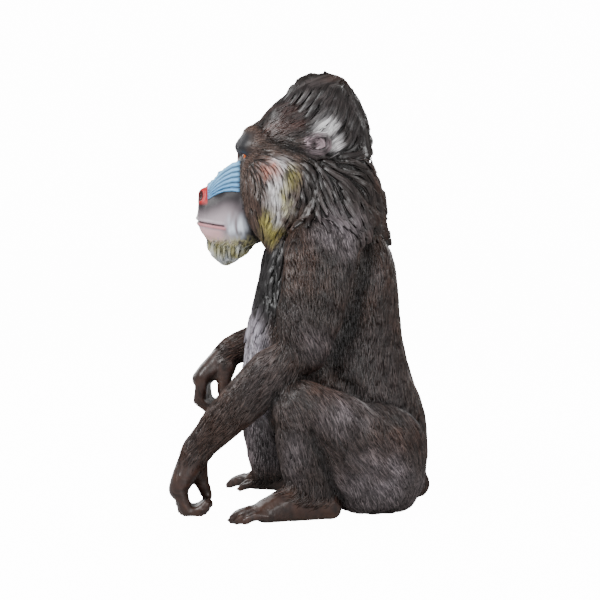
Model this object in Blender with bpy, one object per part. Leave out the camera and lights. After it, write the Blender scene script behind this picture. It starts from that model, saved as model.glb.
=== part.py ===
"""A painted cast statue of a sitting adult male mandrill, life size.

The animal faces -Y, its left side is +X and up is +Z. It sits on its rump,
with both feet and the knuckles of the left hand on the floor at Z = 0.
"""
import bisect
import itertools
import math
import random

import bmesh
import bpy
from mathutils import Matrix, Vector
from mathutils.bvhtree import BVHTree

# Driving sizes, in metres
GAP = 0.0003            # air between two pieces that touch
SHAGGY_GAP = 0.0009     # air between two coats of locks
SHARPEST = 0.35         # a corner swells by at most the gap over this
FLOOR = 0.0             # level of every resting flat
EYE_RADIUS = 0.0105
EYE_PLACE = Vector((0.0265, -0.0940, 0.6475))
EAR_PLACE = Vector((0.0790, 0.0290, 0.6660))
EAR_SIZE = Vector((0.0150, 0.0190, 0.0175))
LID_RADIUS = 0.0023
MOUTH_HEIGHT = 0.0022   # the closed slit between the lips
MOUTH_DEPTH = 0.0040
NOSTRIL_RADIUS = 0.0050
RIDGES = 4              # blue ridges on each side of the nose
RIDGE_RADIUS = 0.0031
RUMP_TOP = 0.150        # where the rump gives way to the belly
BELLY_TOP = 0.340       # where the belly gives way to the chest
CHEST_TOP = 0.505       # where the chest gives way to the neck
MANE_TOP = 0.652        # where the mane gives way to the crest
SEEDS = {"chest": 1, "ruff_left": 3, "ruff_right": 2, "beard": 1, "hair": 3}    # of the locks
ROOT_TRIES = 4000       # places tried when roots are spread over a surface
CLEAN_DISTANCES = (2e-5, 5e-6, 1e-6, 0.0)   # edges shorter than these are closed up
TOUCH = 2e-7            # corners nearer than this would make a body touch itself
FLAT_BENDS = (3.0, 1.0, 0.0)                # degrees under which faces of a coat join up

TORSO_SIDES = 18
LIMB_SIDES = 12
HEAD_SIDES = 16
HAIR_SIDES = 16
BEARD_SIDES = 14
PALM_SIDES = 10
DIGIT_SIDES = 5

# Levels of the body: height, front, back, half width
TORSO = (
    (-0.012, 0.080, 0.184, 0.080),
    (0.010, 0.062, 0.212, 0.100),
    (0.045, 0.030, 0.230, 0.114),
    (0.095, -0.010, 0.237, 0.124),
    (0.150, -0.058, 0.236, 0.126),
    (0.200, -0.094, 0.224, 0.121),
    (0.245, -0.109, 0.205, 0.115),
    (0.310, -0.099, 0.190, 0.110),
    (0.370, -0.084, 0.184, 0.110),
    (0.430, -0.070, 0.179, 0.114),
    (0.475, -0.064, 0.168, 0.111),
    (0.515, -0.050, 0.148, 0.086),
    (0.555, -0.036, 0.132, 0.066),
    (0.600, -0.020, 0.115, 0.060),
    (0.640, 0.010, 0.080, 0.040),
)

# Places along the head: Y, lowest, highest, half width
HEAD = (
    (-0.1875, 0.5250, 0.5640, 0.0160),
    (-0.1840, 0.5100, 0.5720, 0.0270),
    (-0.1750, 0.4980, 0.5790, 0.0340),
    (-0.1600, 0.4880, 0.5920, 0.0385),
    (-0.1450, 0.4820, 0.6080, 0.0405),
    (-0.1300, 0.4790, 0.6230, 0.0430),
    (-0.1150, 0.4790, 0.6370, 0.0475),
    (-0.1020, 0.4800, 0.6550, 0.0540),
    (-0.0870, 0.4830, 0.6800, 0.0600),
    (-0.0550, 0.4950, 0.7050, 0.0670),
    (-0.0200, 0.5150, 0.7220, 0.0690),
    (0.0200, 0.5350, 0.7250, 0.0680),
    (0.0600, 0.5600, 0.7100, 0.0610),
    (0.0900, 0.5900, 0.6850, 0.0460),
    (0.1020, 0.6200, 0.6600, 0.0200),
)

# Levels of the hair on the head and nape: height, front, back, half width
HAIR = (
    (0.470, 0.010, 0.160, 0.070),
    (0.500, -0.036, 0.162, 0.104),
    (0.540, -0.052, 0.161, 0.106),
    (0.580, -0.048, 0.153, 0.099),
    (0.620, -0.045, 0.142, 0.092),
    (0.650, -0.062, 0.135, 0.086),
    (0.675, -0.106, 0.131, 0.082),
    (0.700, -0.090, 0.126, 0.074),
    (0.730, -0.064, 0.115, 0.063),
    (0.758, -0.036, 0.101, 0.049),
    (0.780, -0.006, 0.084, 0.033),
    (0.796, 0.020, 0.064, 0.014),
)

# Levels of one cheek ruff: height, front, back, inner and outer side
RUFF = (
    (0.470, -0.062, -0.040, 0.040, 0.058),
    (0.495, -0.078, -0.024, 0.020, 0.074),
    (0.530, -0.098, -0.006, 0.012, 0.090),
    (0.570, -0.106, 0.006, 0.012, 0.096),
    (0.610, -0.108, 0.014, 0.014, 0.093),
    (0.640, -0.100, 0.012, 0.024, 0.085),
    (0.660, -0.070, -0.010, 0.034, 0.072),
)

# Places along the beard: Y, lowest, highest, half width
BEARD = (
    (-0.1830, 0.4900, 0.5080, 0.0090),
    (-0.1730, 0.4690, 0.5120, 0.0200),
    (-0.1570, 0.4530, 0.5120, 0.0250),
    (-0.1390, 0.4450, 0.5100, 0.0270),
    (-0.1180, 0.4520, 0.5080, 0.0290),
    (-0.0980, 0.4650, 0.5080, 0.0300),
    (-0.0800, 0.4840, 0.5060, 0.0280),
)

# Along a limb: X, Y, Z, half width across the body, half depth
UPPER_ARM_LEFT = (
    (0.080, 0.042, 0.500, 0.044, 0.066),
    (0.108, 0.036, 0.455, 0.047, 0.073),
    (0.124, 0.028, 0.395, 0.043, 0.069),
    (0.130, 0.019, 0.345, 0.041, 0.063),
    (0.132, 0.014, 0.303, 0.037, 0.047),
)
FOREARM_LEFT = (
    (0.130, 0.012, 0.303, 0.031, 0.037),
    (0.130, -0.049, 0.262, 0.038, 0.045),
    (0.124, -0.107, 0.205, 0.035, 0.040),
    (0.118, -0.134, 0.178, 0.031, 0.037),
    (0.110, -0.169, 0.140, 0.025, 0.030),
    (0.107, -0.186, 0.119, 0.023, 0.0265),
)
UPPER_ARM_RIGHT = (
    (-0.080, 0.040, 0.500, 0.044, 0.066),
    (-0.108, 0.036, 0.455, 0.047, 0.071),
    (-0.124, 0.034, 0.400, 0.043, 0.063),
    (-0.132, 0.036, 0.355, 0.040, 0.056),
    (-0.134, 0.038, 0.322, 0.036, 0.044),
)
FOREARM_RIGHT = (
    (-0.132, 0.034, 0.316, 0.030, 0.035),
    (-0.132, -0.020, 0.306, 0.037, 0.040),
    (-0.126, -0.070, 0.297, 0.034, 0.036),
    (-0.118, -0.108, 0.287, 0.028, 0.031),
    (-0.113, -0.134, 0.276, 0.025, 0.028),
)
THIGH_LEFT = (
    (0.070, 0.165, 0.096, 0.060, 0.100),
    (0.092, 0.135, 0.103, 0.063, 0.107),
    (0.116, 0.092, 0.130, 0.056, 0.093),
    (0.136, 0.045, 0.168, 0.048, 0.071),
    (0.149, -0.002, 0.204, 0.044, 0.054),
)
THIGH_RIGHT = (
    (-0.070, 0.160, 0.096, 0.060, 0.100),
    (-0.092, 0.120, 0.103, 0.063, 0.105),
    (-0.116, 0.065, 0.133, 0.056, 0.090),
    (-0.136, 0.008, 0.172, 0.048, 0.069),
    (-0.148, -0.046, 0.208, 0.043, 0.053),
)
LOWER_LEG_LEFT = (
    (0.150, 0.002, 0.190, 0.034, 0.042),
    (0.151, 0.003, 0.156, 0.038, 0.048),
    (0.146, 0.011, 0.118, 0.036, 0.049),
    (0.138, 0.017, 0.078, 0.031, 0.046),
    (0.133, 0.020, 0.045, 0.028, 0.045),
)
LOWER_LEG_RIGHT = (
    (-0.148, -0.048, 0.196, 0.034, 0.042),
    (-0.149, -0.063, 0.156, 0.038, 0.049),
    (-0.143, -0.062, 0.118, 0.036, 0.049),
    (-0.136, -0.056, 0.078, 0.031, 0.046),
    (-0.132, -0.050, 0.045, 0.028, 0.043),
)
TAIL = (
    (0.0, 0.170, 0.070, 0.020, 0.026),
    (0.0, 0.205, 0.048, 0.022, 0.026),
    (0.0, 0.222, 0.038, 0.019, 0.022),
)

# Hands and feet
PALM_LENGTH = 0.071
PALM_HALF_WIDTH = 0.034
PALM_HALF_DEPTH = 0.0210
FINGER_LENGTHS = (0.050, 0.030, 0.020)
FINGER_RADIUS = 0.0108
FINGER_DEPTH = 1.30     # a finger's depth over its width
FINGER_FAN = 5          # degrees that each finger bends more than the one before
FINGER_SCALES = (0.88, 1.0, 0.97, 0.84)
THUMB_LENGTHS = (0.032, 0.024, 0.016)
FOOT_LENGTH = 0.192
FOOT_HALF_WIDTH = 0.037
TOE_LENGTHS = (0.026, 0.020, 0.013)
TOE_RADIUS = 0.0110
TOE_SCALES = (0.88, 1.0, 1.02, 0.92, 0.80)

# Locks of the coat: spacing of the roots, length, half width, height and lift of the tip
CREST_LOCKS = (0.0400, 0.080, 0.0160, 0.0085, 0.0050)
MANE_LOCKS = (0.0480, 0.082, 0.0185, 0.0090, 0.0050)
RUFF_LOCKS = (0.0330, 0.060, 0.0130, 0.0072, 0.0035)
BEARD_LOCKS = (0.0260, 0.040, 0.0105, 0.0056, 0.0030)
CHEST_LOCKS = (0.0290, 0.064, 0.0110, 0.0052, 0.0020)
# Roots along the middle of the head and nape, whose locks draw its outline
CREST_MIDDLE = ((-0.090, 0.700), (-0.060, 0.733), (-0.028, 0.765), (0.008, 0.787),
                (0.048, 0.794), (0.084, 0.766), (0.112, 0.735), (0.124, 0.700))
MANE_MIDDLE = ((0.134, 0.640), (0.143, 0.605), (0.152, 0.570))
LOCK_SEGMENTS = 4
LOCK_WIDTHS = (0.70, 1.00, 0.92, 0.62)      # share of the half width from the root on
LOCK_HEIGHTS = (0.20, 1.00, 1.00, 0.85)     # share of the height from the root on
LOCK_SINK = 0.0045      # how far a lock's edges lie under the core's surface
COAT_DEPTH = 0.0075     # how far the core lies inside the coat's outline
LOCK_SWAY = 16          # degrees that a lock turns at most to either side
LENGTH_RANGE = (0.85, 1.15)     # shares of the length, width and height that locks vary between
WIDTH_RANGE = (0.90, 1.15)
HEIGHT_RANGE = (0.80, 1.20)

# Where the locks have their roots: lowest and highest level, and how the surface must face
CHEST_ROOTS = (0.405, 0.475)
CHEST_ROOTS_REACH = 0.058       # to either side
CHEST_FACING = -0.35            # forwards
RUFF_ROOTS = (0.500, 0.655)
RUFF_FACING = 0.10              # outwards
BEARD_ROOTS = (0.465, 0.520)
BEARD_FACING = 0.50             # not upwards
CREST_FACING = -0.50            # not downwards
MANE_ROOTS = (0.560, MANE_TOP)
MANE_ROOTS_FRONT = -0.010
MANE_FACING = -0.60             # not forwards

# How the coats lie: places between which the lie turns, and its degrees above straight back
FOREHEAD_LEVELS = (0.66, 0.75)
FOREHEAD_ANGLES = (22, 54)
PEAK_PLACES = (-0.060, 0.065)
PEAK_ANGLES = (-38, -30)
NAPE_PLACES = (0.065, 0.120)
NAPE_ANGLE = -78
MANE_PLACES = (0.02, 0.13)
MANE_ANGLES = (-52, -84)
RUFF_LEVELS = (0.50, 0.64)
RUFF_ANGLES = (-98, -42)
BEARD_PLACES = (-0.17, -0.09)
BEARD_SLANTS = (0.45, -0.25)
CREST_DRAW = 1.2        # how strongly the crest's locks lean to the middle
BEARD_DRAW = 6.0        # how strongly the beard's do
WAVE = 0.35             # how far the chest's locks swing
WAVES = (40, 70)        # turns of that swing to each metre across and up, in radians

COLOURS = {
    "fur": (0.080, 0.062, 0.054),
    "belly": (0.300, 0.300, 0.330),
    "hair": (0.060, 0.052, 0.048),
    "ruff": (0.420, 0.360, 0.220),
    "beard": (0.560, 0.500, 0.260),
    "face": (0.230, 0.190, 0.180),
    "hand": (0.095, 0.070, 0.058),
    "ear": (0.330, 0.250, 0.240),
    "eye": (0.520, 0.170, 0.040),
}


def smooth(stations, steps):
    """Read a smooth curve through the stations, with some steps between each two."""
    rows = []
    last = len(stations) - 1
    for index in range(last):
        before = stations[max(index - 1, 0)]
        here, there = stations[index], stations[index + 1]
        after = stations[min(index + 2, last)]
        for step in range(steps):
            t = step / steps
            rows.append(tuple(
                0.5 * (2 * q + (r - p) * t + (2 * p - 5 * q + 4 * r - s) * t ** 2
                       + (3 * q - p - 3 * r + s) * t ** 3)
                for p, q, r, s in zip(before, here, there, after)))
    rows.append(tuple(stations[last]))
    return rows


def ring(centre, side, deep, half_side, half_deep, count, power=2.0):
    """Points of one rounded cross-section; a power over 2 squares it off."""
    points = []
    for index in range(count):
        angle = 2 * math.pi * (index + 0.5) / count
        across, along = math.cos(angle), math.sin(angle)
        points.append(
            centre
            + side * (half_side * math.copysign(abs(across) ** (2 / power), across))
            + deep * (half_deep * math.copysign(abs(along) ** (2 / power), along)))
    return points


def add_object(name, bm):
    """Turn a bmesh into an object of the scene, with its faces pointing out."""
    bmesh.ops.triangulate(bm, faces=bm.faces)
    bmesh.ops.recalc_face_normals(bm, faces=bm.faces)
    mesh = bpy.data.meshes.new(name)
    bm.to_mesh(mesh)
    bm.free()
    obj = bpy.data.objects.new(name, mesh)
    bpy.context.scene.collection.objects.link(obj)
    return obj


def skin(name, rings):
    """Close a row of rings, each with as many points, into one body."""
    bm = bmesh.new()
    loops = [[bm.verts.new(point) for point in points] for points in rings]
    for lower, upper in zip(loops, loops[1:]):
        for index in range(len(lower)):
            following = (index + 1) % len(lower)
            bm.faces.new((lower[index], lower[following], upper[following], upper[index]))
    for loop in (loops[0], loops[-1]):
        middle = bm.verts.new(sum((vert.co for vert in loop), Vector()) / len(loop))
        for index in range(len(loop)):
            bm.faces.new((loop[index], loop[(index + 1) % len(loop)], middle))
    return add_object(name, bm)


def level_loft(name, rows, count=TORSO_SIDES, steps=1, power=2.3):
    """A body from level cross-sections: height, front, back, half width."""
    rings = []
    for height, front, back, half_width in smooth(rows, steps):
        centre = Vector((0, (front + back) / 2, height))
        rings.append(ring(centre, Vector((1, 0, 0)), Vector((0, 1, 0)),
                          half_width, (back - front) / 2, count, power))
    return skin(name, rings)


def upright_loft(name, rows, count=HEAD_SIDES, steps=1, power=2.4):
    """A body from upright cross-sections: Y, lowest, highest, half width."""
    rings = []
    for y, lowest, highest, half_width in smooth(rows, steps):
        centre = Vector((0, y, (lowest + highest) / 2))
        rings.append(ring(centre, Vector((1, 0, 0)), Vector((0, 0, 1)),
                          half_width, (highest - lowest) / 2, count, power))
    return skin(name, rings)


def path_frames(centres, across):
    """The tangent, side and depth directions along a path."""
    frames = []
    for index, centre in enumerate(centres):
        ahead = centres[min(index + 1, len(centres) - 1)]
        behind = centres[max(index - 1, 0)]
        tangent = (ahead - behind).normalized()
        side = (across - tangent * across.dot(tangent)).normalized()
        frames.append((tangent, side, tangent.cross(side)))
    return frames


def limb(name, stations, count=LIMB_SIDES, steps=1, across=Vector((1, 0, 0)), power=2.1,
         dome=(1.0, 1.0), turns=(35, 65)):
    """A rounded limb along its stations, with a dome on each end.

    Its corners stand out a little, so that its flat sides keep the stations' girth.
    """
    fuller = 1 / math.sqrt(math.cos(math.pi / count))
    rows = [(*row[:3], row[3] * fuller, row[4] * fuller) for row in smooth(stations, steps)]
    centres = [Vector(row[:3]) for row in rows]
    frames = path_frames(centres, across)
    rings = []

    def cap(index, way, bulge):
        centre, (tangent, side, deep) = centres[index], frames[index]
        reach = min(rows[index][3:5]) * bulge
        found = []
        for turn in turns:
            angle = math.radians(turn)
            found.append(ring(centre + tangent * (way * reach * math.sin(angle)), side, deep,
                              rows[index][3] * math.cos(angle), rows[index][4] * math.cos(angle),
                              count, power))
        return found

    rings.extend(reversed(cap(0, -1, dome[0])))
    for row, centre, (tangent, side, deep) in zip(rows, centres, frames):
        rings.append(ring(centre, side, deep, row[3], row[4], count, power))
    rings.extend(cap(len(rows) - 1, 1, dome[1]))
    return skin(name, rings)


def tube(name, points, radii, count=DIGIT_SIDES, steps=1, across=Vector((1, 0, 0)), flatten=1.0):
    """A round rod along some points, with its own radius at each."""
    stations = [(*point, radius, radius * flatten) for point, radius in zip(points, radii)]
    return limb(name, stations, count, steps, across, 2.0, turns=(48,))


def ellipsoid(name, centre, radii, turn=None, columns=10, rows=7):
    """A stretched ball, turned about its own centre."""
    bm = bmesh.new()
    bmesh.ops.create_uvsphere(bm, u_segments=columns, v_segments=rows, radius=1.0)
    place = Matrix.Translation(centre) @ (turn or Matrix()) @ Matrix.Diagonal((*radii, 1.0))
    bmesh.ops.transform(bm, matrix=place, verts=bm.verts)
    return add_object(name, bm)


def block(name, low, high):
    """A plain box between two corners."""
    bm = bmesh.new()
    bmesh.ops.create_cube(bm, size=1.0)
    size = Vector(high) - Vector(low)
    middle = (Vector(high) + Vector(low)) / 2
    place = Matrix.Translation(middle) @ Matrix.Diagonal((*size, 1.0))
    bmesh.ops.transform(bm, matrix=place, verts=bm.verts)
    return add_object(name, bm)


def inflated(obj, distance=GAP):
    """A copy of a piece, swollen by the gap that touching pieces keep."""
    bm = bmesh.new()
    bm.from_mesh(obj.data)
    bm.normal_update()
    moves = []
    for vert in bm.verts:
        facing = min(vert.normal.dot(face.normal) for face in vert.link_faces)
        moves.append(vert.co + vert.normal * (distance / max(facing, SHARPEST)))
    for vert, place in zip(bm.verts, moves):
        vert.co = place
    return add_object(obj.name + "_swollen", bm)


def cleaned(mesh, bends):
    """The mesh as a bmesh of closed triangles, with its least edges gone where that is safe."""
    for distance, bend, method in itertools.product(CLEAN_DISTANCES, bends,
                                                    ("BEAUTY", "EAR_CLIP")):
        bm = bmesh.new()
        bm.from_mesh(mesh)
        if distance:
            bmesh.ops.remove_doubles(bm, verts=bm.verts, dist=distance)
            bmesh.ops.dissolve_degenerate(bm, edges=bm.edges, dist=distance)
        if bend:
            bmesh.ops.dissolve_limit(bm, angle_limit=math.radians(bend), verts=bm.verts,
                                     edges=bm.edges)
        bmesh.ops.triangulate(bm, faces=bm.faces, ngon_method=method)
        closed = all(len(edge.link_faces) == 2 for edge in bm.edges)
        touching = bmesh.ops.find_doubles(bm, verts=bm.verts, dist=TOUCH)["targetmap"]
        if closed and not touching:
            return bm
        bm.free()
    return None


def keep_largest(bm):
    """Leave only the largest closed surface of a body."""
    unseen = set(bm.faces)
    islands = []
    while unseen:
        start = unseen.pop()
        island, front = [start], [start]
        while front:
            face = front.pop()
            for edge in face.edges:
                for other in edge.link_faces:
                    if other in unseen:
                        unseen.remove(other)
                        island.append(other)
                        front.append(other)
        volume = sum(face.verts[0].co.dot(face.verts[1].co.cross(face.verts[2].co)) / 6
                     for face in island)
        islands.append((volume, island))
    islands.sort(key=lambda pair: pair[0])
    scraps = [face for _, island in islands[:-1] for face in island]
    bmesh.ops.delete(bm, geom=scraps, context="FACES")
    loose = [vert for vert in bm.verts if not vert.link_faces]
    bmesh.ops.delete(bm, geom=loose, context="VERTS")


def combine(target, tools, operation, solvers=("EXACT", "MANIFOLD"), bends=(0.0,)):
    """Join tools to a piece or cut them from it, and remove the tools."""
    group = bpy.data.collections.new("tools")
    bpy.context.scene.collection.children.link(group)
    for tool in tools:
        bpy.context.scene.collection.objects.unlink(tool)
        group.objects.link(tool)
    change = target.modifiers.new("change", "BOOLEAN")
    change.operation = operation
    change.operand_type = "COLLECTION"
    change.collection = group
    for solver in solvers:
        change.solver = solver
        bpy.context.view_layer.update()
        graph = bpy.context.evaluated_depsgraph_get()
        mesh = bpy.data.meshes.new_from_object(target.evaluated_get(graph))
        bm = cleaned(mesh, bends)
        if bm:
            break
    else:
        raise ValueError(target.name + " is not closed")
    keep_largest(bm)
    bm.to_mesh(mesh)
    bm.free()
    target.modifiers.clear()
    target.data = mesh
    for tool in tools:
        bpy.data.objects.remove(tool)
    bpy.data.collections.remove(group)
    return target


def cut_clear(target, neighbours, shaggy=()):
    """Cut a piece back from its neighbours, leaving the gap between them."""
    tools = [inflated(other) for other in neighbours]
    tools += [inflated(other, SHAGGY_GAP) for other in shaggy]
    return combine(target, tools, "DIFFERENCE")


def cut_floor(target):
    """Give a piece its flat where it rests on the floor."""
    ground = block("ground", (-0.5, -0.5, FLOOR - 0.2), (0.5, 0.5, FLOOR))
    return combine(target, [ground], "DIFFERENCE")


def slice_level(source, name, low, high):
    """The part of a body between two levels, as a piece of its own."""
    piece = duplicate(source, name)
    tools = [block("below", (-0.5, -0.5, low - 1.0), (0.5, 0.5, low)),
             block("above", (-0.5, -0.5, high), (0.5, 0.5, high + 1.0))]
    return combine(piece, tools, "DIFFERENCE")


def paint(obj, finish, roughness=0.42):
    """Give a piece its own painted finish."""
    material = bpy.data.materials.new(obj.name + "_paint")
    material.use_nodes = True
    shader = material.node_tree.nodes["Principled BSDF"]
    shader.inputs["Base Color"].default_value = (*COLOURS[finish], 1.0)
    shader.inputs["Roughness"].default_value = roughness
    shader.inputs["Metallic"].default_value = 0.0
    obj.data.materials.clear()
    obj.data.materials.append(material)
    obj.data.shade_smooth()
    obj.data.set_sharp_from_angle(angle=math.radians(50))


def surface(obj):
    """A search tree over a piece's surface."""
    corners = [vert.co.copy() for vert in obj.data.vertices]
    return BVHTree.FromPolygons(corners, [tuple(face.vertices) for face in obj.data.polygons])


def spread_roots(obj, spacing, accept, draw, first):
    """Places spread evenly over the stretch of a surface that a rule accepts."""
    faces = []
    reach = []
    total = 0.0
    for face in obj.data.polygons:
        corners = [obj.data.vertices[index].co for index in face.vertices]
        total += face.area
        reach.append(total)
        faces.append((corners, face.normal))
    found = list(first)
    for _ in range(ROOT_TRIES):
        corners, normal = faces[bisect.bisect_left(reach, draw.random() * total)]
        a, b = draw.random(), draw.random()
        if a + b > 1:
            a, b = 1 - a, 1 - b
        place = corners[0] + (corners[1] - corners[0]) * a + (corners[2] - corners[0]) * b
        if accept(place, normal) and all((place - other).length > spacing for other in found):
            found.append(place)
    return found


def lie_direction(angle):
    """A direction in the side view, in degrees above straight back."""
    turn = math.radians(angle)
    return Vector((0, math.cos(turn), math.sin(turn)))


def make_lock(tree, root, lie, sizes, bend):
    """One flat tapered lock that follows the lie of the coat over the core."""
    _, length, half_width, height, lift = sizes
    bm = bmesh.new()
    place = root
    heading = None
    rings = []
    for step in range(LOCK_SEGMENTS + 1):
        share = step / LOCK_SEGMENTS
        spot, normal, _, _ = tree.find_nearest(place)
        wish = lie(spot)
        wish = (wish - normal * wish.dot(normal)).normalized()
        heading = wish if heading is None else (heading * 0.4 + wish * 0.6)
        heading = Matrix.Rotation(bend / LOCK_SEGMENTS, 3, normal) @ heading
        heading = (heading - normal * heading.dot(normal)).normalized()
        side = normal.cross(heading)
        out = lift * share ** 2
        if step < LOCK_SEGMENTS:
            wide = half_width * LOCK_WIDTHS[step]
            edge = spot + normal * (out - LOCK_SINK * (1.4 - share))
            ridge = spot + normal * (out + height * LOCK_HEIGHTS[step]) + side * (wide * 0.15)
            rings.append([bm.verts.new(point) for point in
                          (edge - side * wide, ridge, edge + side * wide)])
        else:
            tip = bm.verts.new(spot + normal * (out + height * 0.35))
        place = spot + heading * (length / LOCK_SEGMENTS)
    for near, far in zip(rings, rings[1:]):
        for index in range(3):
            following = (index + 1) % 3
            bm.faces.new((near[index], near[following], far[following], far[index]))
    for index in range(3):
        bm.faces.new((rings[-1][index], rings[-1][(index + 1) % 3], tip))
    bm.faces.new(rings[0])
    return add_object("lock", bm)


def make_locks(core, sizes, lie, accept, draw, middle=()):
    """The locks that cover the stretch of a core that a rule accepts."""
    tree = surface(core)
    locks = []
    first = [Vector((0, y, z)) for y, z in middle]
    for root in spread_roots(core, sizes[0], accept, draw, first):
        spacing, length, half_width, height, lift = sizes
        varied = (spacing, length * draw.uniform(*LENGTH_RANGE),
                  half_width * draw.uniform(*WIDTH_RANGE), height * draw.uniform(*HEIGHT_RANGE),
                  lift)
        bend = math.radians(draw.uniform(-LOCK_SWAY, LOCK_SWAY))
        locks.append(make_lock(tree, root, lie, varied, bend))
    return locks


def fuse_locks(core, locks, bends=FLAT_BENDS):
    """Make the core and its locks one body."""
    return combine(core, locks, "UNION", ("MANIFOLD", "EXACT"), bends)


def blend(low, high, value, first, last):
    """A value that runs evenly from first to last as value goes from low to high."""
    share = min(max((value - low) / (high - low), 0.0), 1.0)
    return first + (last - first) * share


def hair_lie(place):
    """Up and back over the forehead, over the peak, and down the nape."""
    high = blend(*FOREHEAD_LEVELS, place.z, 0.0, 1.0)
    front = blend(0.0, 1.0, high, *FOREHEAD_ANGLES)
    angle = blend(*PEAK_PLACES, place.y, front, blend(0.0, 1.0, high, *PEAK_ANGLES))
    angle = blend(*NAPE_PLACES, place.y, angle, NAPE_ANGLE)
    if place.z < MANE_TOP:
        angle = blend(*MANE_PLACES, place.y, *MANE_ANGLES)
    return lie_direction(angle) + Vector((-CREST_DRAW * place.x * high, 0, 0))


def ruff_lie(place):
    """Back and down over the cheek, then down to the jaw."""
    return lie_direction(blend(*RUFF_LEVELS, place.z, *RUFF_ANGLES))


def beard_lie(place):
    """Down from the chin, drawing in to the tip."""
    slant = blend(*BEARD_PLACES, place.y, *BEARD_SLANTS)
    return Vector((-BEARD_DRAW * place.x, slant, -1.0))


def chest_lie(place):
    """Down the chest in slow waves."""
    swing = WAVE * math.sin(place.x * WAVES[0] + place.z * WAVES[1])
    return Vector((swing, 0, -1.0))


def mirrored(points):
    """The same places on the other side of the body."""
    return [Vector((-point[0], point[1], point[2])) for point in points]


def duplicate(obj, name):
    """A copy of a piece with a mesh of its own."""
    copy = obj.copy()
    copy.data = obj.data.copy()
    copy.name = name
    bpy.context.scene.collection.objects.link(copy)
    return copy


def make_torso():
    """The trunk and neck, with its chest locks, parted level by level."""
    plain = level_loft("trunk", TORSO)
    coat = duplicate(plain, "trunk_with_locks")
    locks = make_locks(
        coat, CHEST_LOCKS, chest_lie,
        lambda place, facing: facing.y < CHEST_FACING and abs(place.x) < CHEST_ROOTS_REACH
        and CHEST_ROOTS[0] < place.z < CHEST_ROOTS[1], random.Random(SEEDS["chest"]))
    fuse_locks(coat, locks, (0.0,))
    half = GAP / 2
    pieces = {
        "rump": slice_level(coat, "rump", FLOOR, RUMP_TOP - half),
        "belly": slice_level(coat, "belly", RUMP_TOP + half, BELLY_TOP - half),
        "chest": slice_level(coat, "chest", BELLY_TOP + half, CHEST_TOP - half),
        "neck": slice_level(coat, "neck", CHEST_TOP + half, 0.7),
    }
    return plain, coat, pieces


def mouth_line():
    """Points along the closed lips, from one corner round to the other."""
    half = ((0.000, -0.1890, 0.5330), (0.016, -0.1865, 0.5320), (0.029, -0.1760, 0.5290),
            (0.0365, -0.1590, 0.5240), (0.0400, -0.1420, 0.5200))
    return mirrored(reversed(half[1:])) + [Vector(point) for point in half]


def make_head():
    """The face: skull, muzzle, brow, blue ridges, nose, lips and lids."""
    head = upright_loft("head", HEAD)
    extras = []
    brow_half = [(0.000, -0.0960, 0.6755), (0.020, -0.0955, 0.6760), (0.038, -0.0880, 0.6740),
                 (0.055, -0.0700, 0.6660)]
    line = mirrored(reversed(brow_half[1:])) + [Vector(point) for point in brow_half]
    brow = tube("brow", line, (0.018, 0.0265, 0.0300, 0.0290, 0.0300, 0.0265, 0.018), 8,
                across=Vector((0, 0.81, 0.59)), flatten=0.46)
    plain = [duplicate(head, "plain_head"), duplicate(brow, "plain_brow")]
    extras.append(brow)
    extras.append(tube("bridge", [(0, -0.1060, 0.660), (0, -0.1095, 0.640), (0, -0.132, 0.618),
                                  (0, -0.155, 0.595), (0, -0.173, 0.579)],
                       (0.0085, 0.0080, 0.0090, 0.0095, 0.0095), 7))
    extras.append(ellipsoid("nose", Vector((0, -0.1760, 0.5760)), (0.0205, 0.0125, 0.0150)))
    for side in (-1, 1):
        extras.append(ellipsoid("wing", Vector((side * 0.0135, -0.1760, 0.5750)),
                                (0.0095, 0.0120, 0.0140), columns=8, rows=6))
        extras.extend(make_ridges(side))
        for rise, name in ((0.0060, "upper_lid"), (-0.0052, "lower_lid")):
            extras.append(make_lid(name, side, rise))
    line = mouth_line()
    radii = [0.0062 - 0.0030 * (abs(point.x) / 0.0395) ** 4 for point in line]
    for name, rise in (("upper_lip", 0.0052), ("lower_lip", -0.0052)):
        lip = [point + Vector((0, 0.0035, rise)) for point in line]
        extras.append(tube(name, lip, radii, across=Vector((0, 0, 1))))
    combine(head, extras, "UNION")

    cuts = []
    for side in (-1, 1):
        eye = Vector((side * EYE_PLACE.x, EYE_PLACE.y, EYE_PLACE.z))
        cuts.append(ellipsoid("socket", eye, [EYE_RADIUS + GAP] * 3))
        nostril = [(side * 0.0105, -0.1930, 0.5750), (side * 0.0110, -0.1860, 0.5755),
                   (side * 0.0120, -0.1800, 0.5765)]
        cuts.append(tube("nostril", nostril, [NOSTRIL_RADIUS, NOSTRIL_RADIUS * 0.9,
                                              NOSTRIL_RADIUS * 0.6]))
    cuts.append(tube("slit", line, [MOUTH_HEIGHT / 2] * len(line), 4,
                     across=Vector((0, 0, 1)), flatten=2 * MOUTH_DEPTH / MOUTH_HEIGHT))
    return combine(head, cuts, "DIFFERENCE"), plain


def make_ridges(side):
    """The swollen blue ridges that run from under one eye to beside the nostril."""
    found = []
    for index in range(RIDGES):
        share = index / (RIDGES - 1)
        top = Vector((side * (0.0140 + 0.0180 * share), -0.1190 + 0.0080 * share,
                      0.6360 - 0.0420 * share))
        low = Vector((side * (0.0130 + 0.0130 * share), -0.1700 + 0.0020 * share,
                      0.5900 - 0.0160 * share))
        middle = (top + low) / 2 + Vector((side * 0.0085, -0.0060, 0.0050 - 0.0020 * share))
        radius = RIDGE_RADIUS * (1.0 - 0.15 * share)
        found.append(tube("ridge", [top, middle, low], (radius * 1.2, radius * 1.4, radius * 0.8),
                          4))
    return found


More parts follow.
